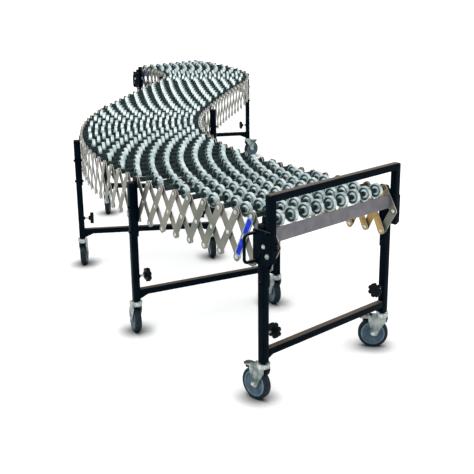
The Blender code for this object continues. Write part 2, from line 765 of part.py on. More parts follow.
def caster_fork(name, place):
    """Swivel ring, two cheeks and the wheel's axle."""
    ring_top = TUBE_BOTTOM - GAP
    ring_bottom = ring_top - FORK_RING_THICKNESS
    inner = CASTER_WIDTH / 2 + FORK_GAP
    ring = rod(FORK_RING_RADIUS, (0.0, 0.0, ring_bottom), (0.0, 0.0, ring_top), FORK_SIDES)
    part = add(name, ring, "zinc_steel", place)
    crown = ring_bottom + FORK_RING_THICKNESS / 2
    cheek = [
        (-FORK_FRONT, crown),
        (-FORK_FRONT, ring_bottom - FORK_RING_THICKNESS / 2),
        *circle(FORK_FOOT, 4, (CASTER_TRAIL, CASTER_RADIUS), math.pi, math.pi, closed=False),
        (PEDAL_BACK + PEDAL_BARREL, pedal_height() - PEDAL_BARREL),
        (PEDAL_BACK + PEDAL_BARREL, crown),
    ]
    upright = Matrix.Rotation(math.pi / 2, 4, "X")
    cheeks = []
    for side in (-1, 1):
        middle = Matrix.Translation((0.0, side * (inner + FORK_PLATE / 2), 0.0))
        cheeks.append(flat_plate([cheek], FORK_PLATE, middle @ upright))
    fuse(part, *cheeks)
    reach = inner + FORK_PLATE + OVERRUN
    ends = [(CASTER_TRAIL, y, CASTER_RADIUS) for y in (-reach, reach)]
    fuse(part, rod(CASTER_AXLE, *ends, AXLE_SIDES))


def caster_wheel(name, place):
    """Tyre and hub as one turned ring, whose flat sides meet the floor."""
    half = CASTER_WIDTH / 2
    tread = CASTER_TREAD / 2
    corner = corner_radius(CASTER_RADIUS, CASTER_SIDES)
    profile = [
        (-half, CASTER_BORE),
        (-half, CASTER_SHOULDER),
        (-tread, corner),
        (tread, corner),
        (half, CASTER_SHOULDER),
        (half, CASTER_BORE),
    ]
    flat_down = Matrix.Rotation(math.pi / 2, 4, "Z") @ Matrix.Rotation(math.pi / CASTER_SIDES, 4, "X")
    turned(name, profile, CASTER_SIDES, "caster_hub", place @ flat_down)


def brake_pedal(name, number, side):
    """The foot lever over the back of a front caster, on a barrel between the fork's cheeks."""
    half = CASTER_WIDTH / 2 + FORK_GAP - GAP
    barrel = rod(PEDAL_BARREL, (0.0, -half, 0.0), (0.0, half, 0.0), AXLE_SIDES)
    part = add(name, barrel, "black_plastic", caster_place(number, side, PEDAL_BACK, pedal_height()))
    tread = box(
        (0.0, -PEDAL_WIDTH / 2 + FORK_PLATE, -PEDAL_THICKNESS / 2),
        (PEDAL_LENGTH, PEDAL_WIDTH / 2 - FORK_PLATE, PEDAL_THICKNESS / 2),
    )
    tread.transform(Matrix.Rotation(math.radians(PEDAL_SLOPE), 4, "Y"))
    fuse(part, tread)


def caster(number, side, hand):
    label = f"{number}_{hand}"
    caster_fork(f"caster_fork_{label}", caster_place(number, side))
    caster_wheel(f"caster_wheel_{label}", caster_place(number, side, CASTER_TRAIL, CASTER_RADIUS))
    if number == 1:
        brake_pedal(f"brake_pedal_{hand}", number, side)


def centre_on_origin():
    """Moves the root so that the middle of the whole part's box is over the origin."""
    bpy.context.view_layer.update()
    graph = bpy.context.evaluated_depsgraph_get()
    corners = []
    for part in PARTS.objects:
        if part.type == "MESH":
            solid = part.evaluated_get(graph)
            corners += [solid.matrix_world @ vertex.co for vertex in solid.data.vertices]
    for axis in (0, 1):
        values = [corner[axis] for corner in corners]
        ROOT.location[axis] -= (min(values) + max(values)) / 2


def shade():
    """Smooth shading on the round parts, with their edges kept sharp."""
    for part in PARTS.objects:
        if part.type == "MESH" and part.name.startswith(("wheel_row", "caster_wheel", "axle")):
            part.data.shade_smooth()
            part.data.set_sharp_from_angle(angle=math.radians(SHARP_ANGLE))


def main():
    for number in range(1, len(STAND_RUNGS) + 1):
        stand(number)
        for side, hand in ((-1, "left"), (1, "right")):
            caster(number, side, hand)
    for side, hand in ((-1, "left"), (1, "right")):
        inner_leg(side, hand)
        height_knob(side, hand)
    folding_cells()
    loose_axle(0, BRACKET_INNER_SIDE - SIDE_GAP)
    loose_axle(1, OUTER_LINK_SIDE + LINK_THICKNESS)
    for rung in range(SPINNING_ROWS):
        wheel_row(rung)
    firsts = (FREE_CELLS, *STAND_RUNGS[1:-1])
    for number, (first, last) in enumerate(zip(firsts, STAND_RUNGS[1:]), 1):
        deck_bay(number, first, last)
    end_stop()
    end_channel("front_channel", STAND_RUNGS[0], -1, FRONT_CHEEK_SIDE)
    end_channel("far_channel", STAND_RUNGS[-1], 1, FAR_CHEEK_SIDE)
    grab_handle("front_handle", STAND_RUNGS[0], -1)
    grab_handle("far_handle", STAND_RUNGS[-1], 1)
    centre_on_origin()
    shade()


main()
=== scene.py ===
# %% [markdown]
# # A skate-wheel conveyor that folds and bends
# Two lattices of crossed steel bars carry rows of small steel wheels, and six black stands
# on casters carry the lattices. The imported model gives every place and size, and this script
# gives the same object its true shapes and finishes.

import math

import bmesh
import bpy
from mathutils import Matrix, Vector


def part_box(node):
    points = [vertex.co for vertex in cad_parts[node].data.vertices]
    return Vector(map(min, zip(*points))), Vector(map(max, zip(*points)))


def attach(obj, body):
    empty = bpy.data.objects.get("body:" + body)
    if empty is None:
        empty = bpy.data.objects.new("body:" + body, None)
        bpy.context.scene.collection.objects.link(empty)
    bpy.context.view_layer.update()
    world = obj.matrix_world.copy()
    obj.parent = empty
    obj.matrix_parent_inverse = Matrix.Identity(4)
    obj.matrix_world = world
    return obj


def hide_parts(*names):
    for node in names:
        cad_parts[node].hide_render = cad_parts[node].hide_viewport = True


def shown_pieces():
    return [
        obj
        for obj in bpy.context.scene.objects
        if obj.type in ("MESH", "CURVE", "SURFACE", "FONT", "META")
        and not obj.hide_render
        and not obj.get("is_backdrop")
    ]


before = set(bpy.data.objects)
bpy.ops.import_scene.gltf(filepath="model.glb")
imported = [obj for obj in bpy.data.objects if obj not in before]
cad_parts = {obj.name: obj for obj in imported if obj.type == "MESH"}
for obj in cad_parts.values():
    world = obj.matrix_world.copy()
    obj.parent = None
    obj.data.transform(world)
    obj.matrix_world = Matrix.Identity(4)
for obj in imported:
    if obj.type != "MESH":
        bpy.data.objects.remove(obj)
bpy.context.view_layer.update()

# %% [markdown]
# ## Where each axle of the deck lies
# The deck is an S on the floor, of straight and curved runs. Every axle is a rung of it, and
# nearly every piece belongs to one rung. So the first helper gives a rung's own frame: X to
# the right, Y along the deck to the far end, Z up. The numbers are the model's own, shifted
# to where the first axle was packed.

# %% Course of the deck
HEADING = 133.1
COURSE = ((0.170, 0.0), (0.390, -4.3), (1.857, -46.6), (1.320, -5.6), (1.297, 54.2))
STAND_RUNGS = (0, 9, 20, 31, 48, 56)
STAND_PLACES = (0.0, 0.736, 1.628, 2.567, 4.299, 5.030)
STAND_TWISTS = (0.0, -7.0, -4.0, 3.0, 0.0, 0.0)
FREE_CELLS = 2
LAST_RUNG = STAND_RUNGS[-1]
BAY_STARTS = (FREE_CELLS, *STAND_RUNGS[1:])

first_axle = sum(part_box("axle_1"), Vector()) / 2
SHIFT = Matrix.Translation((first_axle.x, first_axle.y, 0.0))
AXLE_HEIGHT = first_axle.z


def along(distance):
    """Place and heading of the middle of the deck, this far from the front end."""
    x = y = 0.0
    heading = math.radians(HEADING)
    for length, turn in COURSE:
        run = min(distance, length)
        bend = math.radians(turn) * run / length
        chord = run * math.sin(bend / 2) / (bend / 2) if bend else run
        x += chord * math.cos(heading + bend / 2)
        y += chord * math.sin(heading + bend / 2)
        heading += bend
        distance -= run
    return x, y, heading


def rung_frame(rung):
    """Matrix of a rung's own frame. Half rungs lie between two axles."""
    stand = max(n for n in range(len(STAND_RUNGS) - 1) if STAND_RUNGS[n] <= max(rung, 0))
    span = STAND_RUNGS[stand + 1] - STAND_RUNGS[stand]
    share = (rung - STAND_RUNGS[stand]) / span
    place = STAND_PLACES[stand] + share * (STAND_PLACES[stand + 1] - STAND_PLACES[stand])
    if stand == 0:
        share = max(0.0, (rung - FREE_CELLS) / (STAND_RUNGS[1] - FREE_CELLS))
    twist = STAND_TWISTS[stand] + share * (STAND_TWISTS[stand + 1] - STAND_TWISTS[stand])
    x, y, heading = along(place)
    turn = Matrix.Rotation(heading + math.radians(twist) - math.pi / 2, 4, "Z")
    return SHIFT @ shifted(x, y) @ turn


def shifted(x=0.0, y=0.0, z=0.0):
    return Matrix.Translation((x, y, z))


print("far axle at", [round(v, 3) for v in rung_frame(LAST_RUNG).translation])

# %% [markdown]
# ## Working by hand from a script
# Blender's operators act on what is selected. These helpers let go of everything, open one
# piece for editing, and pick faces or edges by where they are. A pattern is modelled once
# round the origin, and its copies get their own meshes with the place moved into the mesh.

# %% Helpers for modelling
HANDS = ((-1, "left"), (1, "right"))
AS_IT_IS, HALF_TURN = Matrix.Identity(4), Matrix.Rotation(math.pi, 4, "Z")
patterns = []


def edit_done():
    if bpy.context.mode != "OBJECT":
        bpy.ops.object.mode_set(mode="OBJECT")


def let_go():
    edit_done()
    bpy.ops.object.select_all(action="DESELECT")


def hold(piece):
    """Select one piece and make it the active one."""
    let_go()
    piece.select_set(True)
    bpy.context.view_layer.objects.active = piece


def edit(piece):
    hold(piece)
    bpy.ops.object.mode_set(mode="EDIT")


def pick(kind, test):
    """Select only the faces, edges or vertices of the piece in hand that pass the test."""
    bpy.ops.mesh.select_mode(type=kind)
    bpy.ops.mesh.select_all(action="DESELECT")
    mesh = bpy.context.object.data
    cage = bmesh.from_edit_mesh(mesh)
    cage.normal_update()
    for item in {"FACE": cage.faces, "EDGE": cage.edges, "VERT": cage.verts}[kind]:
        if test(item):
            item.select_set(True)
    cage.select_flush_mode()
    bmesh.update_edit_mesh(mesh)


def spans(edge, axis, least):
    """True for an edge that reaches further than this along an axis."""
    start, end = edge.verts
    return abs(getattr(start.co, axis) - getattr(end.co, axis)) > least


def pull(x=0.0, y=0.0, z=0.0):
    """Extrude the selected faces by this much."""
    bpy.ops.mesh.extrude_region_move(TRANSFORM_OT_translate={"value": (x, y, z)})


def inset(thickness, depth=0.0):
    """Inset the selected faces, and push them out or in by the depth."""
    bpy.ops.mesh.inset(thickness=thickness, depth=depth)


def bevel(offset, segments):
    """Bevel the selected edges."""
    bpy.ops.mesh.bevel(offset=offset, segments=segments)


def draw_in(x, y, z, centre):
    """Scale what is selected towards a point."""
    bpy.ops.transform.resize(value=(x, y, z), center_override=centre)


def finished_with(piece, kind, **settings):
    """Apply one modifier to the piece."""
    hold(piece)
    modifier = piece.modifiers.new(kind.title(), kind)
    for key, value in settings.items():
        setattr(modifier, key, value)
    bpy.ops.object.modifier_apply(modifier=modifier.name)
    return piece


def eased(piece, width, segments=2, angle=35):
    """Round the sharp edges of a piece."""
    return finished_with(
        piece, "BEVEL", width=width, segments=segments,
        limit_method="ANGLE", angle_limit=math.radians(angle),
    )


def block(size, centre=(0.0, 0.0, 0.0)):
    """A box to start from, with its place in its mesh."""
    let_go()
    bpy.ops.mesh.primitive_cube_add(size=1.0, location=centre, scale=size)
    bpy.ops.object.transform_apply()
    return bpy.context.object


AXIS_TURNS = {"X": (0.0, math.pi / 2, 0.0), "Y": (math.pi / 2, 0.0, 0.0), "Z": (0.0, 0.0, 0.0)}


def drum(radius, length, axis, sides, centre=(0.0, 0.0, 0.0)):
    """A round bar to start from, along X, Y or Z."""
    let_go()
    bpy.ops.mesh.primitive_cylinder_add(
        vertices=sides, radius=radius, depth=length, location=centre, rotation=AXIS_TURNS[axis]
    )
    bpy.ops.object.transform_apply()
    return bpy.context.object


def joined(name, pieces):
    """One piece made of several."""
    hold(pieces[0])
    for piece in pieces:
        piece.select_set(True)
    if len(pieces) > 1:
        bpy.ops.object.join()
    whole = bpy.context.object
    whole.name = whole.data.name = name
    return whole


def pattern(name, *pieces):
    """A shape that is only copied, and taken away at the end."""
    whole = joined(name, list(pieces))
    patterns.append(whole)
    return whole


def copied(shape, place, name="copy"):
    """A copy of a pattern with its own mesh, in its place."""
    piece = shape.copy()
    piece.data = shape.data.copy()
    piece.name = piece.data.name = name
    bpy.context.scene.collection.objects.link(piece)
    piece.data.transform(place)
    return piece


def smooth(piece, angle=35):
    """Smooth shading over soft edges only."""
    hold(piece)
    bpy.ops.object.shade_smooth_by_angle(angle=math.radians(angle))
    return piece


def faces_out(piece):
    """Merge doubled points and turn every face outwards."""
    edit(piece)
    bpy.ops.mesh.select_all(action="SELECT")
    bpy.ops.mesh.remove_doubles(threshold=1e-6)
    bpy.ops.mesh.normals_make_consistent(inside=False)
    edit_done()
    return piece


def coat(piece, *finishes):
    piece.data.materials.clear()
    for finish in finishes:
        piece.data.materials.append(finish)
    return piece


def second_coat(piece, test, index=1):
    """Give the faces that pass the test another of the piece's finishes."""
    for face in piece.data.polygons:
        if test(face):
            face.material_index = index
    return piece


# %% [markdown]
# ## Finishes
# There are three families: deep black paint, bare zinc on steel, and wheels of bright zinc
# with a cold cast. A flat colour would look like plastic, so each finish starts from a slow
# noise between two near colours, and a finer noise moves the roughness and lifts the surface
# a little. The faces of the black paint that look up get a painted brownish highlight, which
# stands in for light falling from above.

# %% A finish from two colours
def add(tree, kind, values=(), operation=None):
    """A new shader node with some of its inputs set."""
    node = tree.nodes.new("ShaderNode" + kind)
    if operation:
        node.operation = operation
    for socket, value in dict(values).items():
        node.inputs[socket].default_value = value
    return node


def wire(start, output, end, socket):
    """Join an output of one node to an input of another."""
    end.id_data.links.new(start.outputs[output], end.inputs[socket])


def new_finish(name, dark, light, patch, rough, metallic=0.0, grain=900.0, relief=0.05,
               streak=(1.0, 1.0, 1.0), gloss=0.5):
    """A surface whose colour drifts between two, with fine relief.

    patch and grain are spots to the metre, rough is the lowest and highest roughness, streak
    stretches the fine pattern, and gloss is how strongly a bare surface mirrors the room.
    """
    finish = bpy.data.materials.new(name)
    finish.use_nodes = True
    tree = finish.node_tree
    surface = tree.nodes["Principled BSDF"]
    surface.inputs["Metallic"].default_value = metallic
    surface.inputs["Specular IOR Level"].default_value = gloss
    place = add(tree, "TexCoord")
    cloud = add(tree, "TexNoise", {"Scale": patch, "Detail": 3.0})
    wire(place, "Object", cloud, "Vector")
    drift = add(tree, "ValToRGB")
    drift.name = "drift"
    for stop, position, colour in zip(drift.color_ramp.elements, (0.35, 0.65), (dark, light)):
        stop.position = position
        stop.color = (*colour, 1.0)
    wire(cloud, "Fac", drift, "Fac")
    wire(drift, "Color", surface, "Base Color")
    stretch = add(tree, "Mapping", {"Scale": streak})
    wire(place, "Object", stretch, "Vector")
    fine = add(tree, "TexNoise", {"Scale": grain, "Detail": 2.0})
    wire(stretch, "Vector", fine, "Vector")
    spread = add(tree, "MapRange", {"To Min": rough[0], "To Max": rough[1]})
    wire(fine, "Fac", spread, "Value")
    wire(spread, "Result", surface, "Roughness")
    lift = add(tree, "Bump", {"Strength": relief, "Distance": 0.0004})
    wire(fine, "Fac", lift, "Height")
    wire(lift, "Normal", surface, "Normal")
    return finish


def painted_top_highlight(finish, colour, amount):
    """A painted brownish highlight on faces that look up."""
    tree = finish.node_tree
    facing = add(tree, "NewGeometry")
    split = add(tree, "SeparateXYZ")
    wire(facing, "Normal", split, "Vector")
    share = add(tree, "MapRange", {"From Min": 0.5, "From Max": 1.0, "To Max": amount})
    wire(split, "Z", share, "Value")
    blend = add(tree, "MixRGB", {"Color2": (*colour, 1.0)})
    wire(share, "Result", blend, "Fac")
    wire(tree.nodes["drift"], "Color", blend, "Color1")
    wire(blend, "Color", tree.nodes["Principled BSDF"], "Base Color")
    return finish


# %% The finishes of this conveyor
# The black paint gets a painted brownish highlight on its faces that look up.
black_paint = painted_top_highlight(
    new_finish(
        "black_paint", (0.0004, 0.0034, 0.0066), (0.0012, 0.0056, 0.0102), 14.0, (0.30, 0.42),
        relief=0.08, gloss=0.02,
    ),
    (0.150, 0.118, 0.092), 0.85,
)
ALONG_Z = (1.0, 1.0, 0.12)
link_zinc = new_finish(
    "link_zinc", (0.150, 0.172, 0.146), (0.275, 0.258, 0.215), 9.0, (0.32, 0.46),
    0.75, 700.0, 0.06, ALONG_Z,
)
painted_edge_highlight = new_finish("painted_edge_highlight", (0.34, 0.34, 0.30), (0.72, 0.70, 0.64), 40.0, (0.35, 0.5), 0.15)
painted_shade_zinc = new_finish(
    "painted_shade_zinc", (0.030, 0.042, 0.036), (0.130, 0.140, 0.115), 20.0, (0.36, 0.50), 0.5
)
painted_warm_reflection = new_finish(
    "painted_warm_reflection", (0.26, 0.17, 0.055), (0.52, 0.36, 0.14), 16.0, (0.30, 0.44),
    0.75, 700.0, 0.06, ALONG_Z,
)
bright_rivet = new_finish(
    "bright_rivet", (0.50, 0.53, 0.52), (0.74, 0.78, 0.76), 120.0, (0.2, 0.3), 0.9
)
wheel_rim = new_finish(
    "wheel_rim", (0.42, 0.55, 0.56), (0.80, 0.90, 0.90), 40.0, (0.26, 0.40), 0.60, 800.0, 0.03
)
painted_shade_dish = new_finish(
    "painted_shade_dish", (0.004, 0.020, 0.024), (0.070, 0.140, 0.150), 60.0, (0.25, 0.45), 0.6
)
painted_shade_spacer = new_finish(
    "painted_shade_spacer", (0.001, 0.006, 0.007), (0.026, 0.048, 0.048), 60.0, (0.40, 0.60), 0.3,
    gloss=0.15,
)
axle_steel = new_finish(
    "axle_steel", (0.38, 0.46, 0.47), (0.60, 0.68, 0.68), 60.0, (0.22, 0.35), 0.9
)
channel_grey = new_finish(
    "channel_grey", (0.135, 0.13, 0.15), (0.18, 0.175, 0.19), 25.0, (0.35, 0.5), 0.3, 600.0, 0.04,
    (0.1, 0.1, 1.0),
)
blue_film = new_finish(
    "blue_film", (0.001, 0.010, 0.34), (0.006, 0.050, 0.72), 50.0, (0.3, 0.42), gloss=0.15
)
shaded_film = new_finish(
    "shaded_film", (0.004, 0.010, 0.060), (0.016, 0.030, 0.160), 50.0, (0.4, 0.5)
)
film_border = new_finish("film_border", (0.25, 0.36, 0.62), (0.42, 0.55, 0.80), 90.0, (0.3, 0.42))
tyre_rubber = new_finish(
    "tyre_rubber", (0.002, 0.008, 0.012), (0.008, 0.020, 0.028), 60.0, (0.42, 0.6),
    relief=0.12, gloss=0.2,
)
hub_plastic = new_finish(
    "hub_plastic", (0.020, 0.052, 0.085), (0.050, 0.105, 0.150), 40.0, (0.34, 0.46)
)
hub_ring = new_finish("hub_ring", (0.07, 0.14, 0.20), (0.13, 0.22, 0.29), 40.0, (0.32, 0.44))
fork_zinc = new_finish(
    "fork_zinc", (0.075, 0.115, 0.110), (0.40, 0.46, 0.44), 30.0, (0.26, 0.40), 0.6, 500.0
)
bright_zinc = new_finish(
    "bright_zinc", (0.30, 0.34, 0.34), (0.72, 0.76, 0.75), 60.0, (0.20, 0.34), 0.8, 500.0
)
knob_plastic = new_finish(
    "knob_plastic", (0.001, 0.003, 0.004), (0.004, 0.006, 0.008), 80.0, (0.35, 0.5),
    relief=0.1, gloss=0.08,
)
print("finishes:", len(bpy.data.materials))

# %% [markdown]
# ## Skate wheels
# A skate wheel is two pressed steel discs on a small bearing. From the side it shows a
# rolled rim, a deep dish and a bright boss. It is one short round bar: its end faces are
# inset for the rim and again, inwards, for the dish, and a bar through the middle is the
# boss. There are nearly five hundred wheels, so each has only twelve sides.

# %% One wheel
WHEEL_RADIUS = 0.030
WHEEL_HALF = 0.0078
WHEEL_SIDES = 12
RIM_WIDTH = 0.0036
BOSS_RADIUS = 0.0110
BOSS_SIDES = 8

wheel = drum(WHEEL_RADIUS, 2 * WHEEL_HALF - 0.0012, "X", WHEEL_SIDES)
edit(wheel)
pick("FACE", lambda f: abs(f.normal.x) > 0.9)
inset(RIM_WIDTH, 0.0006)
inset(0.0080, -0.0050)
inset(0.0045, 0.0030)
edit_done()
coat(wheel, wheel_rim, painted_shade_dish)
# The dish faces get a dark teal finish: painted shade in the wheel's recess.
second_coat(wheel, lambda f: 0.0165 < Vector(f.center).yz.length < 0.9 * WHEEL_RADIUS - 0.0034)
boss = coat(drum(BOSS_RADIUS, 2 * WHEEL_HALF + 0.010, "X", BOSS_SIDES), wheel_rim)
wheel = joined("skate_wheel", [wheel, boss])
print("faces of one wheel:", len(wheel.data.polygons))

# %% [markdown]
# ## Rows of wheels
# Axles carry nine wheels and eight in turn, so the wheels of one row stand between those of
# the next. An Array modifier sets them side by side, and one long tube serves as all the
# spacers of a row. The tube is nearly black: painted shade in the gaps between the wheels.

# %% A long and a short row
WHEEL_SPACING = 0.069
ROW_HALF = 0.3145


def make_row(count):
    """This many wheels on one spacer tube."""
    row = copied(wheel, shifted(x=-(count - 1) / 2 * WHEEL_SPACING))
    finished_with(
        row, "ARRAY", count=count, use_relative_offset=False, use_constant_offset=True,
        constant_offset_displace=(WHEEL_SPACING, 0.0, 0.0),
    )
    # The spacer tube is nearly black, as painted shade between the wheels.
    tube = coat(drum(BOSS_RADIUS, 2 * ROW_HALF, "X", BOSS_SIDES), painted_shade_spacer)
    return smooth(pattern(f"row_of_{count}", row, tube))


rows = [make_row(9), make_row(8)]
patterns.append(wheel)
print("faces of a row:", [len(row.data.polygons) for row in rows])

# %% Rows in their places
SPINNING_ROWS = 4


def bay_of(rung):
    """Number of the rigid bay that carries a rung, or 0 in the free cells."""
    return sum(rung >= start for start in BAY_STARTS[:-1])


in_bays = {}
for rung in range(LAST_RUNG + 1):
    place = rung_frame(rung) @ shifted(z=AXLE_HEIGHT)
    row = copied(rows[rung % 2], place, f"wheels_{rung + 1}")
    if rung < SPINNING_ROWS:
        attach(row, f"wheel_row_{rung + 1}")
        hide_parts(f"wheel_row_{rung + 1}")
    else:
        in_bays.setdefault(bay_of(rung), []).append(row)
for bay, pieces in in_bays.items():
    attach(joined(f"wheels_of_bay_{bay}", pieces), "deck")
print("rows in each bay:", {bay: len(pieces) for bay, pieces in in_bays.items()})

# %% [markdown]
# ## Links of the lattice
# A link is a flat steel bar: a thin block whose four end corners are beveled into a half
# round. Its sheared edge faces get their own paler finish, a painted highlight where light
# catches the thin edge.
# The inner faces of the right side's links get a third finish inside, so those links are
# copies: a painted warm reflection at the front, and painted shade further on. A rivet is a
# round bar through two links, with its end faces drawn in and out to a low dome.

# %% One link, one rivet and one nut
LINK_LENGTH = 0.192
LINK_HALF = 0.016
LINK_THICKNESS = 0.003
LINK_CORNER = 0.0152
PIN_RADIUS = 0.0085
OUTER_SIDE = 0.3265
INNER_SIDE = 0.3185
MIDDLE_SIDE = (OUTER_SIDE + INNER_SIDE) / 2


def flat_link(length):
    """A bar hung from its top pivot at the origin, in the YZ plane."""
    link = block((LINK_THICKNESS, 2 * LINK_HALF, length + 2 * LINK_HALF), (0.0, 0.0, -length / 2))
    edit(link)
    pick("EDGE", lambda e: spans(e, "x", 0.002))
    bevel(LINK_CORNER, 4)
    edit_done()
    coat(link, link_zinc, painted_edge_highlight)
    # The edge faces get the paler finish: a painted highlight.
    second_coat(link, lambda f: abs(f.normal.x) < 0.5)
    return eased(link, 0.0004, 1, 60)


def domed_pin(radius, half, dome):
    """A round pin along X whose ends are low domes."""
    pin = drum(radius, 2 * half, "X", 8)
    edit(pin)
    pick("FACE", lambda f: abs(f.normal.x) > 0.9)
    inset(0.45 * radius, dome)
    edit_done()
    return coat(smooth(pin, 50), bright_rivet)


link = pattern("link", flat_link(LINK_LENGTH))
right_links = []
# Inner faces: a painted warm reflection at the front, painted shade further on.
for inner_face in (painted_warm_reflection, painted_shade_zinc):
    bar = copied(link, AS_IT_IS)
    bar.data.materials.append(inner_face)
    right_links.append(pattern("right_link", second_coat(bar, lambda f: f.normal.x < -0.9, 2)))
rivet = pattern("rivet", domed_pin(PIN_RADIUS, 0.0064, 0.0014))
nut = pattern("nut", coat(eased(drum(PIN_RADIUS, 0.0042, "X", 6), 0.0005, 1), bright_rivet))
print("faces of a link:", len(link.data.polygons), "of a rivet:", len(rivet.data.polygons))

# %% [markdown]
# ## The lattices
# Each outer link hangs from its axle and leans to the far end, each inner one to the front.
# Where the deck bends, the pivots of one side lie closer together, so its links stand steeper
# and hang lower. The bottom pivots follow from the links' fixed length. The two cells at the
# front fold in the model, so their links stay pieces of their own.

# %% Pivots and links in their places
def top_pivot(rung, side):
    """Where a link hangs on its axle."""
    return rung_frame(rung) @ Vector((side * MIDDLE_SIDE, 0.0, AXLE_HEIGHT))


def pitch(rung, side):
    """From one top pivot to the next."""
    return (top_pivot(rung + 1, side) - top_pivot(rung, side)).length


def low_pivot(rung, side):
    """Bottom pivot under a rung: as deep as its links are long."""
    cells = [pitch(n, side) for n in (rung - 1, rung) if 0 <= n < LAST_RUNG]
    drop = math.sqrt(LINK_LENGTH**2 - (sum(cells) / len(cells)) ** 2)
    return top_pivot(rung, side) - Vector((0.0, 0.0, drop))


def hung(rung, side, lean):
    """Matrix that hangs a link from a rung, leaning to the next (1) or the last (-1) one."""
    outwards = side * (OUTER_SIDE if lean > 0 else INNER_SIDE)
    if rung <= FREE_CELLS and rung + lean <= FREE_CELLS:
        angle = lean * math.asin(pitch(min(rung, rung + lean), side) / LINK_LENGTH)
        pivot = shifted(outwards, 0.0, AXLE_HEIGHT)
        return rung_frame(rung) @ pivot @ Matrix.Rotation(angle, 4, "X")
    top = top_pivot(rung, side)
    up = (top - low_pivot(rung + lean, side)).normalized()
    across = rung_frame(rung).to_3x3() @ Vector((1.0, 0.0, 0.0))
    across = (across - up * across.dot(up)).normalized()
    turn = Matrix((across, up.cross(across), up)).transposed().to_4x4()
    return Matrix.Translation(top) @ turn @ shifted(x=outwards - side * MIDDLE_SIDE)


def pinned(point, rung):
    """Matrix that lays a rivet across the deck at a point."""
    return Matrix.Translation(point) @ rung_frame(rung).to_3x3().to_4x4()


def crossing(rung, side):
    points = [pivot(n, side) for pivot, n in (
        (top_pivot, rung), (low_pivot, rung + 1), (top_pivot, rung + 1), (low_pivot, rung)
    )]
    return sum(points, Vector()) / 4


# %% Links of the free cells
for side, hand in HANDS:
    for cell in range(FREE_CELLS):
        for plane, rung, lean in (("outer", cell, 1), ("inner", cell + 1, -1)):
            name = f"{plane}_link_{cell + 1}_{hand}"
            bars = [copied(link if side < 0 else right_links[0], hung(rung, side, lean))]
            if plane == "outer":
                bars.append(copied(rivet, pinned(crossing(cell, side), cell + 0.5)))
                if cell + 1 == FREE_CELLS:
                    bars.append(copied(rivet, pinned(low_pivot(cell + 1, side), cell + 1)))
            else:
                bars.append(copied(rivet, pinned(low_pivot(cell, side), cell)))
            piece = joined(f"bar_{name}", bars)
            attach(piece, name)
            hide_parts(name)
print("loose links:", 4 * FREE_CELLS)

# %% Links of the rigid bays
for bay, (first, last) in enumerate(zip(BAY_STARTS, BAY_STARTS[1:]), 1):
    for side, hand in HANDS:
        bar = link if side < 0 else right_links[0 if bay == 1 else 1]
        outer = [copied(bar, hung(n, side, 1)) for n in range(first, last)]
        inner = [copied(bar, hung(n + 1, side, -1)) for n in range(first, last)]
        pins = [copied(rivet, pinned(crossing(n, side), n + 0.5)) for n in range(first, last)]
        pins += [copied(rivet, pinned(low_pivot(n + 1, side), n + 1)) for n in range(first, last)]
        for label, pieces in (("outer", outer), ("inner", inner), ("pins", pins)):
            lattice = joined(f"{label}_of_bay_{bay}_{hand}", pieces)
            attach(lattice, "deck")
            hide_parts(f"deck_bay_{bay}")
print("links in all:", 4 * LAST_RUNG)

# %% [markdown]
# ## Axles
# An axle is a plain rod across the deck. Where it only holds the lattice it ends in a nut on
# each side, and where a stand carries it, it runs on into the stand's brackets.

# %% Axles and their nuts
BRACKET_INNER = 0.331
ROD_RADIUS = 0.004
NUT_SIDE = OUTER_SIDE + LINK_THICKNESS / 2 + 0.0021


def axle_at(rung):
    """A rod in its place, with its nuts."""
    at_stand = rung in STAND_RUNGS
    half = BRACKET_INNER if at_stand else OUTER_SIDE + 0.0065
    parts = [coat(smooth(drum(ROD_RADIUS, 2 * half, "X", 8)), axle_steel)]
    if not at_stand:
        parts += [copied(nut, shifted(side * NUT_SIDE)) for side, _ in HANDS]
    axle = joined("axle", parts)
    axle.data.transform(rung_frame(rung) @ shifted(z=AXLE_HEIGHT))
    return axle


axles = {}
for rung in range(LAST_RUNG + 1):
    axles.setdefault(bay_of(rung) or -rung, []).append(axle_at(rung))
for key, pieces in axles.items():
    if key <= 0:
        rod = joined(f"axle_rod_{1 - key}", pieces)
        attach(rod, "front_end" if key == 0 else "second_axle")
        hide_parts(f"axle_{1 - key}")
    else:
        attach(joined(f"axles_of_bay_{key}", pieces), "deck")
print("axles:", sum(len(pieces) for pieces in axles.values()))

# %% [markdown]
# ## Black stands
# A stand is two legs of square tube, a cross bar low between them, and a small gusset in
# each lower corner. Rounded corners catch a thin line of light, so every bar is beveled.
# Plastic caps close the legs on top, and their lower ends are cut open: the end face is
# inset by the wall and pushed up for the inner leg.

# %% Legs, cross bar and gussets
LEG_SIDE = 0.350
TUBE = 0.030
TUBE_WALL = 0.002
TUBE_BOTTOM = 0.155
TUBE_TOP = AXLE_HEIGHT - 0.009
CROSS_HEIGHT = TUBE_BOTTOM + 0.040
CROSS_BAR = 0.028
BRACKET_BOTTOM = AXLE_HEIGHT - 0.243
BRACKET_THICKNESS = 0.004
LEG_INNER, LEG_OUTER = LEG_SIDE - TUBE / 2, LEG_SIDE + TUBE / 2


def leg_tube(side):
    """A square tube that is open below."""
    height = TUBE_TOP - TUBE_BOTTOM
    leg = block((TUBE, TUBE, height), (side * LEG_SIDE, 0.0, TUBE_BOTTOM + height / 2))
    eased(leg, 0.0035, 3)
    edit(leg)
    pick("FACE", lambda f: f.normal.z < -0.99)
    inset(TUBE_WALL)
    pull(z=0.30)
    edit_done()
    return leg


def leg_cap(side):
    cap = block((TUBE - 0.001, TUBE - 0.001, 0.004), (side * LEG_SIDE, 0.0, TUBE_TOP + 0.0015))
    return coat(eased(cap, 0.0015, 2), knob_plastic)


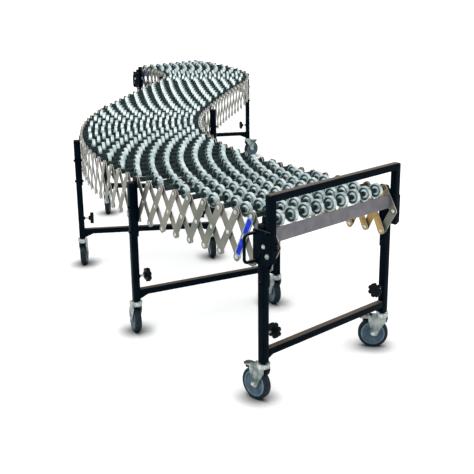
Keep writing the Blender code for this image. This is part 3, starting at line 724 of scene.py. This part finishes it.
def gusset(side):
    """A triangle of plate: a block whose inner lower corner is beveled away."""
    long, deep = 0.045, 0.022
    under = CROSS_HEIGHT - CROSS_BAR / 2
    plate = block((long, 0.005, deep), (side * (LEG_INNER - long / 2), 0.0, under - deep / 2))
    edit(plate)
    pick("FACE", lambda f: side * f.normal.x < -0.9)
    draw_in(1.0, 1.0, 0.12, (side * (LEG_INNER - long), 0.0, under))
    edit_done()
    return eased(plate, 0.001, 1)


# %% [markdown]
# ## Bolts
# Most joints show a round or six-sided head on a washer. One head of each kind is modelled
# along X, so that it can be copied on to any face of a stand.

# %% Bolt heads
def bolt_head(radius, height, sides, washer):
    """A head on its washer; washer is the washer's radius."""
    head = drum(radius, height, "X", sides, (height / 2, 0.0, 0.0))
    edit(head)
    pick("FACE", lambda f: f.normal.x > 0.9)
    inset(0.3 * radius, 0.25 * height)
    edit_done()
    ring = drum(washer, 0.0012, "X", 16, (0.0006, 0.0, 0.0))
    return smooth(joined("head", [head, ring]), 40)


zinc_bolt = pattern("zinc_bolt", coat(bolt_head(0.0062, 0.005, 6, 0.0085), bright_rivet))
black_bolt = pattern("black_bolt", coat(bolt_head(0.0060, 0.005, 6, 0.0080), black_paint))
round_bolt = pattern("round_bolt", coat(bolt_head(0.0085, 0.004, 16, 0.0100), fork_zinc))


def bolted(bolt, side, outwards, y, z):
    """A bolt on a face that looks outwards (1) or inwards (-1), at this side of the deck."""
    x = side * outwards[0]
    turn = AS_IT_IS if side * outwards[1] > 0 else HALF_TURN
    return copied(bolt, shifted(x, y, z) @ turn)


# %% [markdown]
# ## Brackets that carry the lattice
# Each leg has a strap of black plate on its inner face, wider above, where the axle's end
# goes through it. It is a block whose lower end face is drawn in and extruded down.

# %% Brackets
def bracket(side):
    """The stepped strap on a leg's inner face."""
    top, step = AXLE_HEIGHT + LINK_HALF, BRACKET_BOTTOM + 0.075
    middle = (side * (LEG_INNER - BRACKET_THICKNESS / 2), 0.0, (top + step) / 2)
    plate = block((BRACKET_THICKNESS, 0.046, top - step), middle)
    edit(plate)
    pick("EDGE", lambda e: all(v.co.z > top - 1e-4 for v in e.verts) and spans(e, "x", 0.001))
    bevel(0.010, 4)
    pick("FACE", lambda f: f.normal.z < -0.9)
    pull(z=-0.012)
    draw_in(1.0, 0.65, 1.0, (side * LEG_INNER, 0.0, step))
    pull(z=BRACKET_BOTTOM - step + 0.012)
    edit_done()
    return eased(plate, 0.0008, 1)


def make_stand():
    """A stand at the origin, with its caps and bolts."""
    cross_bar = block((2 * LEG_INNER, CROSS_BAR, CROSS_BAR), (0.0, 0.0, CROSS_HEIGHT))
    steel = [eased(cross_bar, 0.003, 3)]
    for side, _ in HANDS:
        steel += [leg_tube(side), gusset(side), bracket(side)]
    fittings = [coat(smooth(joined("stand_steel", steel)), black_paint)]
    for side, _ in HANDS:
        fittings.append(leg_cap(side))
        for face in ((LEG_INNER - BRACKET_THICKNESS, -1), (LEG_OUTER, 1)):
            for up in (0.020, 0.130):
                fittings.append(bolted(black_bolt, side, face, 0.0, BRACKET_BOTTOM + up))
    return pattern("stand", *fittings)


stand = make_stand()
print("faces of a stand:", len(stand.data.polygons))

# %% [markdown]
# ## Star knobs
# The inner legs are clamped by black star knobs. A knob is a flat drum with seven lobes: of
# its 28 points around, every fourth is drawn in towards the middle. A steel stem with
# a collar joins it to the leg.

# %% One knob
KNOB_HEIGHT = CROSS_HEIGHT + CROSS_BAR / 2 + 0.057
KNOB_OUT = 0.041
KNOB_RADIUS = 0.030
KNOB_THICKNESS = 0.018
LOBES = 7


def make_knob():
    """A knob on the face of a tube at the origin, standing out along X."""
    head = drum(KNOB_RADIUS, KNOB_THICKNESS, "X", 4 * LOBES, (KNOB_OUT, 0.0, 0.0))
    edit(head)
    pick("FACE", lambda f: abs(f.normal.x) > 0.9)
    inset(0.004)
    pick("VERT", lambda v: round(math.atan2(v.co.z, v.co.y) / (math.pi / (2 * LOBES))) % 4 == 2)
    draw_in(1.0, 0.72, 0.72, (KNOB_OUT, 0.0, 0.0))
    edit_done()
    eased(head, 0.0025, 2, 50)
    neck = eased(drum(0.012, 0.010, "X", 16, (KNOB_OUT - 0.013, 0.0, 0.0)), 0.002, 2)
    plastic = coat(joined("plastic", [head, neck]), knob_plastic)
    stem = drum(0.005, KNOB_OUT - 0.010, "X", 10, (KNOB_OUT / 2 - 0.006, 0.0, 0.0))
    coat(stem, axle_steel)
    boss = coat(eased(drum(0.009, 0.006, "X", 6, (0.003, 0.0, 0.0)), 0.0008, 1), black_paint)
    return smooth(pattern("knob", plastic, stem, boss), 40)


knob = make_knob()


def knob_place(side):
    """Matrix that sets a knob on the inner face of a leg."""
    turn = HALF_TURN if side > 0 else AS_IT_IS
    return shifted(side * LEG_INNER, 0.0, KNOB_HEIGHT) @ turn


# %% Six stands
for number, rung in enumerate(STAND_RUNGS, 1):
    place = rung_frame(rung)
    parts = [copied(stand, place)]
    if number > 1:
        parts += [copied(knob, place @ knob_place(side)) for side, _ in HANDS]
    piece = joined(f"frame_{number}", parts)
    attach(piece, "front_end" if number == 1 else "deck")
    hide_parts(f"stand_{number}")
for side, hand in HANDS:
    piece = copied(knob, rung_frame(0) @ knob_place(side), f"star_knob_{hand}")
    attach(piece, f"height_knob_{hand}")
    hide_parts(f"height_knob_{hand}")
print("stands:", len(STAND_RUNGS))

# %% [markdown]
# ## Inner legs
# At rest the inner legs of the front stand are drawn all the way up. They are seen when the
# stand is raised: square tube with a row of holes for the clamp screw, and an open top.

# %% Inner legs of the front stand
INNER_TUBE = 0.025
INNER_LEG = 0.380
HOLES, HOLE_STEP, HOLE_RADIUS = 8, 0.04, 0.0045

for side, hand in HANDS:
    place = rung_frame(0) @ shifted(side * LEG_SIDE, 0.0, TUBE_BOTTOM)
    leg = block((INNER_TUBE, INNER_TUBE, INNER_LEG), (0.0, 0.0, INNER_LEG / 2))
    eased(leg, 0.003, 2)
    edit(leg)
    pick("FACE", lambda f: f.normal.z > 0.99)
    inset(0.002)
    pull(z=-0.35)
    edit_done()
    coat(smooth(leg), black_paint, painted_shade_dish)
    holes = []
    for step in range(HOLES):
        middle = (0.0, 0.0, HOLE_STEP * (step + 1))
        hole = drum(HOLE_RADIUS, INNER_TUBE + 0.0002, "X", 10, middle)
        edit(hole)
        pick("FACE", lambda f: abs(f.normal.x) > 0.9)
        inset(0.0012, -0.0008)
        edit_done()
        holes.append(coat(hole, black_paint))
    leg = joined(f"inner_tube_{hand}", [leg, *holes])
    leg.data.transform(place)
    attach(leg, f"inner_leg_{hand}")
    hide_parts(f"inner_leg_{hand}")

# %% [markdown]
# ## The front end
# An inverted U of square tube stops the goods. It grows from one block: up, across and down
# again by extruding end faces, so that the tube has one continuous skin, and then all its
# edges are rounded. Black plates hold the U to the legs from outside.

# %% End stop
STOP_TUBE = 0.028
STOP_TOP = AXLE_HEIGHT + 0.107
STOP_BOTTOM = TUBE_TOP - 0.136
STOP_FORWARD = 0.038
STOP_OUTER = LEG_OUTER - 0.0008
STOP_INNER = STOP_OUTER - STOP_TUBE
ENDS = (("front", -1, 0, "front_end"), ("far", 1, LAST_RUNG, "deck"))


def make_stop():
    """The inverted U, drawn up, across and down from one block."""
    leg = STOP_TOP - STOP_TUBE - STOP_BOTTOM
    middle = (-(STOP_OUTER + STOP_INNER) / 2, -STOP_FORWARD, STOP_BOTTOM + leg / 2)
    stop = block((STOP_TUBE, STOP_TUBE, leg), middle)
    edit(stop)
    pick("FACE", lambda f: f.normal.z > 0.9)
    pull(z=STOP_TUBE)
    for reach in (2 * STOP_INNER, STOP_TUBE):
        pick("FACE", lambda f: f.normal.x > 0.9 and f.calc_center_median().z > STOP_TOP - STOP_TUBE)
        pull(x=reach)
    pick("FACE", lambda f: f.normal.z < -0.9 and f.calc_center_median().x > STOP_INNER)
    pull(z=-leg)
    pick("EDGE", lambda e: spans(e, "y", 0.02) and abs(e.verts[0].co.x) > STOP_OUTER - 1e-4
         and all(v.co.z > STOP_TOP - 1e-4 for v in e.verts))
    bevel(0.009, 4)
    pick("EDGE", lambda e: spans(e, "y", 0.02)
         and all(v.co.z < STOP_BOTTOM + 1e-4 for v in e.verts))
    bevel(0.009, 3)
    edit_done()
    eased(stop, 0.0025, 2, 60)
    return coat(smooth(stop), black_paint)


stop = make_stop()
stop_bolts = []
for side, _ in HANDS:
    for face in ((STOP_OUTER, 1), (STOP_INNER, -1)):
        for up in (0.026, 0.104):
            stop_bolts.append(bolted(black_bolt, side, face, -STOP_FORWARD, STOP_BOTTOM + up))
stop = joined("stop_bar", [stop, *stop_bolts])
stop.data.transform(rung_frame(0))
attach(stop, "front_end")
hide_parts("end_stop")
print("height of the stop:", round(max(v.co.z for v in stop.data.vertices), 3))

# %% [markdown]
# ## End channels
# A grey channel that leans a little forward closes each end of the deck. It hangs on two
# cheeks: a pair of half links that meet in a point in front, and a tab under the axle. The
# channel is a long block that is open behind, because its back face is inset and pushed in.
# The lean comes from moving its lower edge forward.

# %% One end with its cheeks, in the rung's own frame
CHANNEL_TOP = AXLE_HEIGHT - 0.021
CHANNEL_HEIGHT = 0.053
CROSSING_FORWARD = 0.050
CROSSING_DROP = 0.085
CHANNEL_REACH = {"front": 0.3285, "far": 0.3253}


def half_link(x, start, end):
    """A short link between two (forward, height) points, in the plane at x."""
    run = Vector(end) - Vector(start)
    bar = flat_link(run.length)
    angle = math.atan2(run.x, -run.y)
    bar.data.transform(shifted(x, -start[0], start[1]) @ Matrix.Rotation(-angle, 4, "X"))
    return bar


def end_channel(name, side_reach, low):
    """A channel with its cheeks; low is the height of the bottom pivots."""
    width = 2 * side_reach
    bar = block((width, 0.0045, CHANNEL_HEIGHT), (0.0, -0.0282, CHANNEL_TOP - CHANNEL_HEIGHT / 2))
    edit(bar)
    pick("FACE", lambda f: f.normal.y > 0.9)
    inset(0.0025)
    pull(y=-0.0020)
    pick("VERT", lambda v: v.co.z < CHANNEL_TOP - CHANNEL_HEIGHT / 2)
    bpy.ops.transform.translate(value=(0.0, -0.0035, 0.0))
    edit_done()
    bar = coat(eased(bar, 0.0012, 2, 50), channel_grey)
    parts = [bar]
    axle, foot = (0.0, AXLE_HEIGHT), (0.0, low)
    meet = (CROSSING_FORWARD, AXLE_HEIGHT - CROSSING_DROP)
    for side, _ in HANDS:
        x = side * (side_reach + 0.0010)
        parts += [half_link(x, axle, meet), half_link(x, meet, foot)]
        tab = block((0.002, 0.0421, 0.076), (x, -0.0051, AXLE_HEIGHT - 0.038))
        edit(tab)
        pick("EDGE", lambda e: all(v.co.z > AXLE_HEIGHT - 0.01 and v.co.y < -0.02 for v in e.verts))
        bpy.ops.transform.translate(value=(0.0, 0.016, 0.0))
        edit_done()
        parts.append(coat(eased(tab, 0.0006, 1), link_zinc))
        for y, z in (meet, foot):
            parts.append(copied(rivet, shifted(x, -y, z) @ Matrix.Diagonal((0.45, 1.0, 1.0, 1.0))))
        for z in (0.012, 0.040):
            screw = shifted(side * (side_reach + 0.0025), -0.024, CHANNEL_TOP - z)
            parts.append(copied(nut, screw @ Matrix.Diagonal((0.4, 0.7, 0.7, 1.0))))
    return joined(name, parts)


for end, forward, rung, body in ENDS:
    low = sum(low_pivot(rung, side).z for side, _ in HANDS) / 2
    channel = end_channel(f"channel_{end}", CHANNEL_REACH[end], low)
    channel.data.transform(rung_frame(rung) @ (AS_IT_IS if forward < 0 else HALF_TURN))
    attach(channel, body)
    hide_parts(f"{end}_channel")
print("channel faces:", len(channel.data.polygons))

# %% [markdown]
# ## End plates and grab handles
# A black plate covers the outer face of each end leg. Its front lower corner is cut at a
# slant. The left plate has a D of round rod for pulling the conveyor along: a plane without
# one edge, with its two outer corners beveled round, that gets a thickness as a curve.

# %% End plates
PLATE_TOP = TUBE_TOP - 0.015
PLATE_BOTTOM = PLATE_TOP - 0.129
PLATE_MIDDLE = (PLATE_TOP + PLATE_BOTTOM) / 2
PLATE_THICKNESS = 0.004
FRONT, BACK = 0.052, 0.034


def end_plate(side, forward):
    """The plate on a leg's outer face; forward is -1 at the front end."""
    middle = (side * (LEG_OUTER + PLATE_THICKNESS / 2), forward * (FRONT - BACK) / 2, PLATE_MIDDLE)
    plate = block((PLATE_THICKNESS, FRONT + BACK, PLATE_TOP - PLATE_BOTTOM), middle)
    edit(plate)
    pick("EDGE", lambda e: spans(e, "x", 0.002)
         and all(forward * v.co.y > 0 and v.co.z < PLATE_MIDDLE for v in e.verts))
    bevel(0.016, 1)
    pick("EDGE", lambda e: spans(e, "x", 0.002) and all(forward * v.co.y < 0 for v in e.verts))
    bevel(0.006, 3)
    edit_done()
    return coat(eased(plate, 0.0008, 1), black_paint)


for end, forward, rung, body in ENDS:
    parts = []
    for side, _ in HANDS:
        parts.append(end_plate(side, forward))
        on_plate = (LEG_OUTER + PLATE_THICKNESS, 1)
        parts.append(bolted(zinc_bolt, side, on_plate, forward * 0.020, PLATE_TOP - 0.058))
        parts.append(bolted(round_bolt, side, on_plate, forward * 0.038, PLATE_BOTTOM + 0.038))
        parts.append(bolted(black_bolt, side, on_plate, forward * 0.034, PLATE_TOP - 0.010))
    plates = joined(f"end_plates_{end}", parts)
    plates.data.transform(rung_frame(rung))
    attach(plates, body)
print("plate height:", round(PLATE_TOP - PLATE_BOTTOM, 3))

# %% Grab handles
HANDLE_TOP = PLATE_TOP - 0.0145
HANDLE_BOTTOM = PLATE_BOTTOM + 0.011
HANDLE_OUT = 0.050
HANDLE_BACK = 0.025
HANDLE_RADIUS = 0.006
HANDLE_FOOT = (0.022, 0.020, 0.010)


def make_handle(forward):
    """A D of rod on the left plate."""
    start = LEG_OUTER + 0.0043
    middle = (-start - HANDLE_OUT / 2, -forward * HANDLE_BACK, (HANDLE_TOP + HANDLE_BOTTOM) / 2)
    let_go()
    bpy.ops.mesh.primitive_plane_add(size=1.0, location=middle, rotation=(math.pi / 2, 0.0, 0.0))
    route = bpy.context.object
    route.scale = (HANDLE_OUT, HANDLE_TOP - HANDLE_BOTTOM, 1.0)
    bpy.ops.object.transform_apply()
    edit(route)
    bpy.ops.mesh.delete(type="ONLY_FACE")
    pick("EDGE", lambda e: all(v.co.x > -start - 1e-4 for v in e.verts))
    bpy.ops.mesh.delete(type="EDGE")
    pick("VERT", lambda v: v.co.x < -start - HANDLE_OUT / 2)
    bpy.ops.mesh.bevel(offset=0.016, segments=6, affect="VERTICES")
    edit_done()
    bpy.ops.object.convert(target="CURVE")
    route.data.bevel_depth = HANDLE_RADIUS
    route.data.bevel_resolution = 3
    route.data.use_fill_caps = True
    bpy.ops.object.convert(target="MESH")
    return coat(smooth(faces_out(bpy.context.object), 50), black_paint)


for end, forward, rung, body in ENDS:
    handle = make_handle(forward)
    foot = block(HANDLE_FOOT, (-LEG_OUTER - 0.015, -forward * HANDLE_BACK, PLATE_BOTTOM + 0.001))
    coat(eased(foot, 0.002, 2), fork_zinc)
    handle = joined(f"grab_{end}_handle", [handle, foot])
    handle.data.transform(rung_frame(rung))
    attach(handle, body)
    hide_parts(f"{end}_handle")
print("points of a handle:", len(handle.data.vertices))

# %% [markdown]
# ## Caster wheels
# A blue-grey plastic hub has a black rubber tyre, and both are one drum. The tread's edges
# are beveled round, and the end faces are inset again and again, in and out, for the tyre's
# side, the hub's raised ring, its web and its boss. Faces are given rubber or plastic by how
# far they are from the axle.

# %% Tyre and hub, round the Y axis
CASTER_RADIUS = 0.0625
CASTER_HALF = 0.015
CASTER_TRAIL = 0.036


def from_axle(face):
    """How far the middle of a face is from the wheel's axle."""
    return Vector((face.center.x, face.center.z)).length


def at_rim(edge):
    """True for an edge between the tread and an end face."""
    return edge.is_manifold and abs(edge.link_faces[0].normal.y - edge.link_faces[1].normal.y) > 0.9


def make_caster_wheel():
    """One drum that is inset, in and out, from the tyre to the boss."""
    tyre = drum(CASTER_RADIUS, 2 * CASTER_HALF, "Y", 40)
    edit(tyre)
    pick("EDGE", at_rim)
    bevel(0.0065, 4)
    pick("FACE", lambda f: abs(f.normal.y) > 0.99)
    for thickness, depth in (
        (0.0050, 0.0), (0.0012, -0.0022), (0.0020, 0.0016), (0.0040, 0.0), (0.0020, -0.0030),
        (0.0190, -0.0016), (0.0015, 0.0040), (0.0030, 0.0006),
    ):
        inset(thickness, depth)
    edit_done()
    coat(smooth(tyre, 40), tyre_rubber, hub_plastic, hub_ring)
    second_coat(tyre, lambda f: from_axle(f) < 0.0503)
    return second_coat(tyre, lambda f: 0.0430 < from_axle(f) < 0.0495, 2)


caster_wheel = pattern("caster_wheel_shape", make_caster_wheel())
print("faces of a caster wheel:", len(caster_wheel.data.polygons))

# %% [markdown]
# ## Caster forks
# The fork is pressed from zinc plate. A bright ring holds the swivel's balls, and the leg
# stands in it as in a cup. Under the ring two cheeks taper to the wheel's axle. A cheek is a
# block whose lower end is drawn in towards the axle and rounded by beveling its corners.

# %% Ring, cheeks and axle nuts, with the swivel at the origin
RING_TOP = TUBE_BOTTOM - 0.0003
CHEEK_GAP = 0.0015
CHEEK = 0.003


def swivel_ring():
    """The bright cup with the swivel's balls, and the cone under it."""
    ring = drum(0.0255, 0.014, "Z", 32, (0.0, 0.0, RING_TOP - 0.007))
    edit(ring)
    pick("FACE", lambda f: f.normal.z > 0.9)
    inset(0.0015)
    inset(0.0012, -0.0022)
    pick("FACE", lambda f: f.normal.z < -0.9)
    inset(0.0025)
    pull(z=-0.006)
    edit_done()
    eased(ring, 0.0012, 2, 50)
    cone = drum(0.0215, 0.006, "Z", 32, (0.0, 0.0, RING_TOP - 0.022))
    edit(cone)
    pick("FACE", lambda f: f.normal.z < -0.9)
    draw_in(0.8, 0.8, 1.0, (0.0, 0.0, RING_TOP - 0.025))
    edit_done()
    return coat(smooth(joined("swivel_ring", [ring, cone]), 40), bright_zinc)


def fork_cheek(side):
    """A plate beside the wheel, from the crown down to the axle."""
    y = side * (CASTER_HALF + CHEEK_GAP + CHEEK / 2)
    top, waist, bottom = RING_TOP - 0.014, RING_TOP - 0.036, CASTER_RADIUS
    front, back = -0.017, 0.056
    cheek = block((back - front, CHEEK, top - waist), ((front + back) / 2, y, (top + waist) / 2))
    edit(cheek)
    pick("FACE", lambda f: f.normal.z < -0.9)
    pull(z=-0.030)
    draw_in(0.62, 1.0, 1.0, (CASTER_TRAIL - 0.002, y, waist - 0.030))
    pull(z=bottom - 0.011 - waist + 0.030)
    draw_in(0.49, 1.0, 1.0, (CASTER_TRAIL, y, 0.0))
    pick("EDGE", lambda e: spans(e, "y", 0.002) and all(v.co.z < bottom - 0.010 for v in e.verts))
    bevel(0.009, 4)
    edit_done()
    return eased(cheek, 0.0009, 1, 50)


def make_fork():
    """Crown, cheeks and ring, with the wheel's axle and its nuts."""
    steel = [fork_cheek(-1), fork_cheek(1)]
    crown = block((0.060, 0.036, 0.003), (0.012, 0.0, RING_TOP - 0.0155))
    edit(crown)
    pick("EDGE", lambda e: spans(e, "z", 0.002))
    bevel(0.010, 3)
    edit_done()
    steel.append(eased(crown, 0.0008, 1, 50))
    fork = coat(smooth(joined("fork_steel", steel), 40), fork_zinc)
    parts = [fork, swivel_ring()]
    for side in (-1, 1):
        face = shifted(CASTER_TRAIL, side * (CASTER_HALF + CHEEK_GAP + CHEEK), CASTER_RADIUS)
        parts.append(copied(zinc_bolt, face @ Matrix.Rotation(side * math.pi / 2, 4, "Z")))
    pin = drum(0.005, 2 * CASTER_HALF + 0.006, "Y", 12, (CASTER_TRAIL, 0.0, CASTER_RADIUS))
    return pattern("fork", *parts, coat(pin, axle_steel))


fork = make_fork()
print("faces of a fork:", len(fork.data.polygons))

# %% [markdown]
# ## Foot brakes
# Some casters carry a foot brake. A zinc tray with a turned-up rim reaches back from the
# fork, and a black block under it presses on the tyre. The tray is a thin block whose top is
# inset and pushed down, and it is tipped a little. A black guard closes the fork in front.

# %% Tray and block, hinged at the back of the fork
PEDAL_BACK = 0.052
PEDAL_HEIGHT = 0.1297


def make_brake():
    """Tray, pressing block and hinge, with the hinge at the origin."""
    tray = block((0.044, 0.034, 0.007), (0.019, 0.0, 0.003))
    edit(tray)
    pick("EDGE", lambda e: spans(e, "z", 0.004) and all(v.co.x > 0.03 for v in e.verts))
    bevel(0.012, 4)
    pick("FACE", lambda f: f.normal.z > 0.9)
    inset(0.0016)
    pull(z=-0.0045)
    edit_done()
    coat(eased(tray, 0.0008, 1, 50), fork_zinc, painted_shade_dish)
    pad = block((0.022, 0.026, 0.010), (0.018, 0.0, -0.0065))
    coat(eased(pad, 0.002, 2), knob_plastic)
    brake = joined("brake_parts", [tray, pad])
    brake.data.transform(Matrix.Rotation(math.radians(4.0), 4, "Y"))
    hinge = coat(drum(0.004, 0.032, "Y", 12), axle_steel)
    return smooth(pattern("brake", brake, hinge), 40)


brake = make_brake()
guard = block((0.010, 0.024, 0.022), (-0.020, 0.0, 0.122))
edit(guard)
pick("FACE", lambda f: f.normal.z < -0.9)
draw_in(0.5, 0.9, 1.0, (-0.015, 0.0, 0.111))
edit_done()
guard = pattern("guard", coat(smooth(eased(guard, 0.002, 2)), knob_plastic))

# %% Twelve casters
CASTER_SWIVELS = (
    (2.0, 38.0), (-8.0, -4.0), (-6.0, 4.0), (8.0, -5.0), (3.0, -62.0), (0.0, 12.0)
)


def caster_place(number, side):
    """The caster's own frame: X back along its trail, Y along the wheel's axle."""
    swivel = CASTER_SWIVELS[number - 1][side > 0]
    turn = Matrix.Rotation(math.radians(90.0 + swivel), 4, "Z")
    return rung_frame(STAND_RUNGS[number - 1]) @ shifted(x=side * LEG_SIDE) @ turn


for number in range(1, len(STAND_RUNGS) + 1):
    for side, hand in HANDS:
        label, place = f"{number}_{hand}", caster_place(number, side)
        parts = [copied(fork, place)]
        hinge = place @ shifted(PEDAL_BACK, 0.0, PEDAL_HEIGHT)
        if number == 1:
            parts.append(copied(guard, place))
            pedal = copied(brake, hinge, f"pedal_{hand}")
            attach(pedal, f"brake_pedal_{hand}")
            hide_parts(f"brake_pedal_{hand}")
        elif label == "5_right":
            parts.append(copied(brake, hinge))
        piece = joined(f"fork_{label}", parts)
        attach(piece, f"caster_fork_{label}")
        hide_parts(f"caster_fork_{label}")
        hub = place @ shifted(CASTER_TRAIL, 0.0, CASTER_RADIUS)
        tyre = copied(caster_wheel, hub, f"tyre_{label}")
        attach(tyre, f"caster_wheel_{label}")
        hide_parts(f"caster_wheel_{label}")
print("casters:", 2 * len(STAND_RUNGS))

# %% [markdown]
# ## Stickers
# Plain blue film marks a few links beside the end stands. Each piece is a thin block on the
# link's outer face, a little narrower than the bar. At the far end it lies in shade and has
# a darker finish.

# %% Blue film
FILM_LENGTH, FILM_WIDTH, FILM = 0.074, 0.0285, 0.0004
FILM_MIDDLES = (0.050, 0.142)


def film(middle):
    """A piece of film, this far below the link's top pivot."""
    strip = block((FILM, FILM_WIDTH, FILM_LENGTH), (LINK_THICKNESS / 2 + FILM / 2, 0.0, -middle))
    edit(strip)
    pick("EDGE", lambda e: spans(e, "x", 0.0003))
    bevel(0.002, 2)
    pick("FACE", lambda f: f.normal.x > 0.9)
    inset(0.0030)
    edit_done()
    coat(strip, blue_film, film_border)
    return second_coat(strip, lambda f: f.area < 0.001)


def on_left_link(rung):
    """The two pieces of film on the outer face of a left link."""
    strips = [film(middle) for middle in FILM_MIDDLES]
    for strip in strips:
        strip.data.transform(hung(rung, -1, 1) @ HALF_TURN)
    return strips


front_film = joined("film_front", on_left_link(1))
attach(front_film, "outer_link_2_left")
far_film = joined("film_far", on_left_link(LAST_RUNG - 2) + on_left_link(LAST_RUNG - 1))
coat(far_film, shaded_film, shaded_film)
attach(far_film, "deck")

# %% [markdown]
# ## Floor, light and camera
# The photograph has a pure white ground with soft dark spots under the casters. The floor
# is white and glows a little for the camera alone, and its colour and glow are darkened close
# to what stands on it, as a painted contact shadow. The sky is an even white, and one broad
# sun adds a little direction. The camera is where the photograph was taken from, found from
# the heights and widths of the front stand.

# %% Floor
let_go()
bpy.ops.mesh.primitive_plane_add(size=160.0)
floor = bpy.context.object
floor.name = "floor"
floor_white = bpy.data.materials.new("floor_white")
floor_white.use_nodes = True
tree = floor_white.node_tree
ground = tree.nodes["Principled BSDF"]
ground.inputs["Roughness"].default_value = 1.0
ground.inputs["Specular IOR Level"].default_value = 0.0
# Ambient occlusion darkens the floor's colour and glow near what stands on it: a painted contact
# shadow.
near = add(tree, "AmbientOcclusion", {"Distance": 0.09})
near.samples = 8
deep = add(tree, "Math", {1: 2.6}, "POWER")
wire(near, "AO", deep, 0)
wire(deep, "Value", ground, "Base Color")
wire(deep, "Value", ground, "Emission Color")
rays = add(tree, "LightPath")
glow = add(tree, "Math", {1: 0.30}, "MULTIPLY")
wire(rays, "Is Camera Ray", glow, 0)
wire(glow, "Value", ground, "Emission Strength")
coat(floor, floor_white)
floor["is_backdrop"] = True

# %% Light
world = bpy.data.worlds.new("studio")
bpy.context.scene.world = world
world.use_nodes = True
tree = world.node_tree
sky = tree.nodes["Background"]
sky.inputs["Color"].default_value = (1.0, 1.0, 1.0, 1.0)
rays = add(tree, "LightPath")
seen = add(tree, "Math", operation="MAXIMUM")
wire(rays, "Is Camera Ray", seen, 0)
wire(rays, "Is Transmission Ray", seen, 1)
shown = add(tree, "Math", operation="MAXIMUM")
wire(seen, "Value", shown, 0)
wire(rays, "Is Glossy Ray", shown, 1)
level = add(tree, "MapRange", {"To Min": 0.80, "To Max": 1.0})
wire(shown, "Value", level, "Value")
wire(level, "Result", sky, "Strength")

let_go()
SUN_TURN = (math.radians(35.0), 0.0, math.radians(-30.0))
bpy.ops.object.light_add(type="SUN", location=(-2.0, -4.0, 5.0), rotation=SUN_TURN)
sun = bpy.context.object
sun.data.energy = 0.95
sun.data.angle = math.radians(50.0)

# %% Camera
LENS = 67.87
TILT, ROLL = math.radians(72.77), -0.0109
FROM_AXLE = (-0.34776, -3.23196, 0.8748)

let_go()
bpy.ops.object.camera_add()
camera = bpy.context.object
camera.data.sensor_width = 36.0
camera.data.lens = LENS
camera.data.clip_end = 200.0
aim = Matrix.Rotation(TILT, 4, "X") @ Matrix.Rotation(ROLL, 4, "Z")
stand_point = [axle + away for axle, away in zip(first_axle, FROM_AXLE)]
camera.matrix_world = Matrix.Translation(stand_point) @ aim
bpy.context.scene.camera = camera
bpy.context.scene.view_settings.view_transform = "Standard"

# %% Finish
for shape in patterns:
    bpy.data.objects.remove(shape)
bpy.context.view_layer.update()
faces = [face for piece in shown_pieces() if piece.type == "MESH" for face in piece.data.polygons]
print("triangles:", sum(len(face.vertices) - 2 for face in faces))
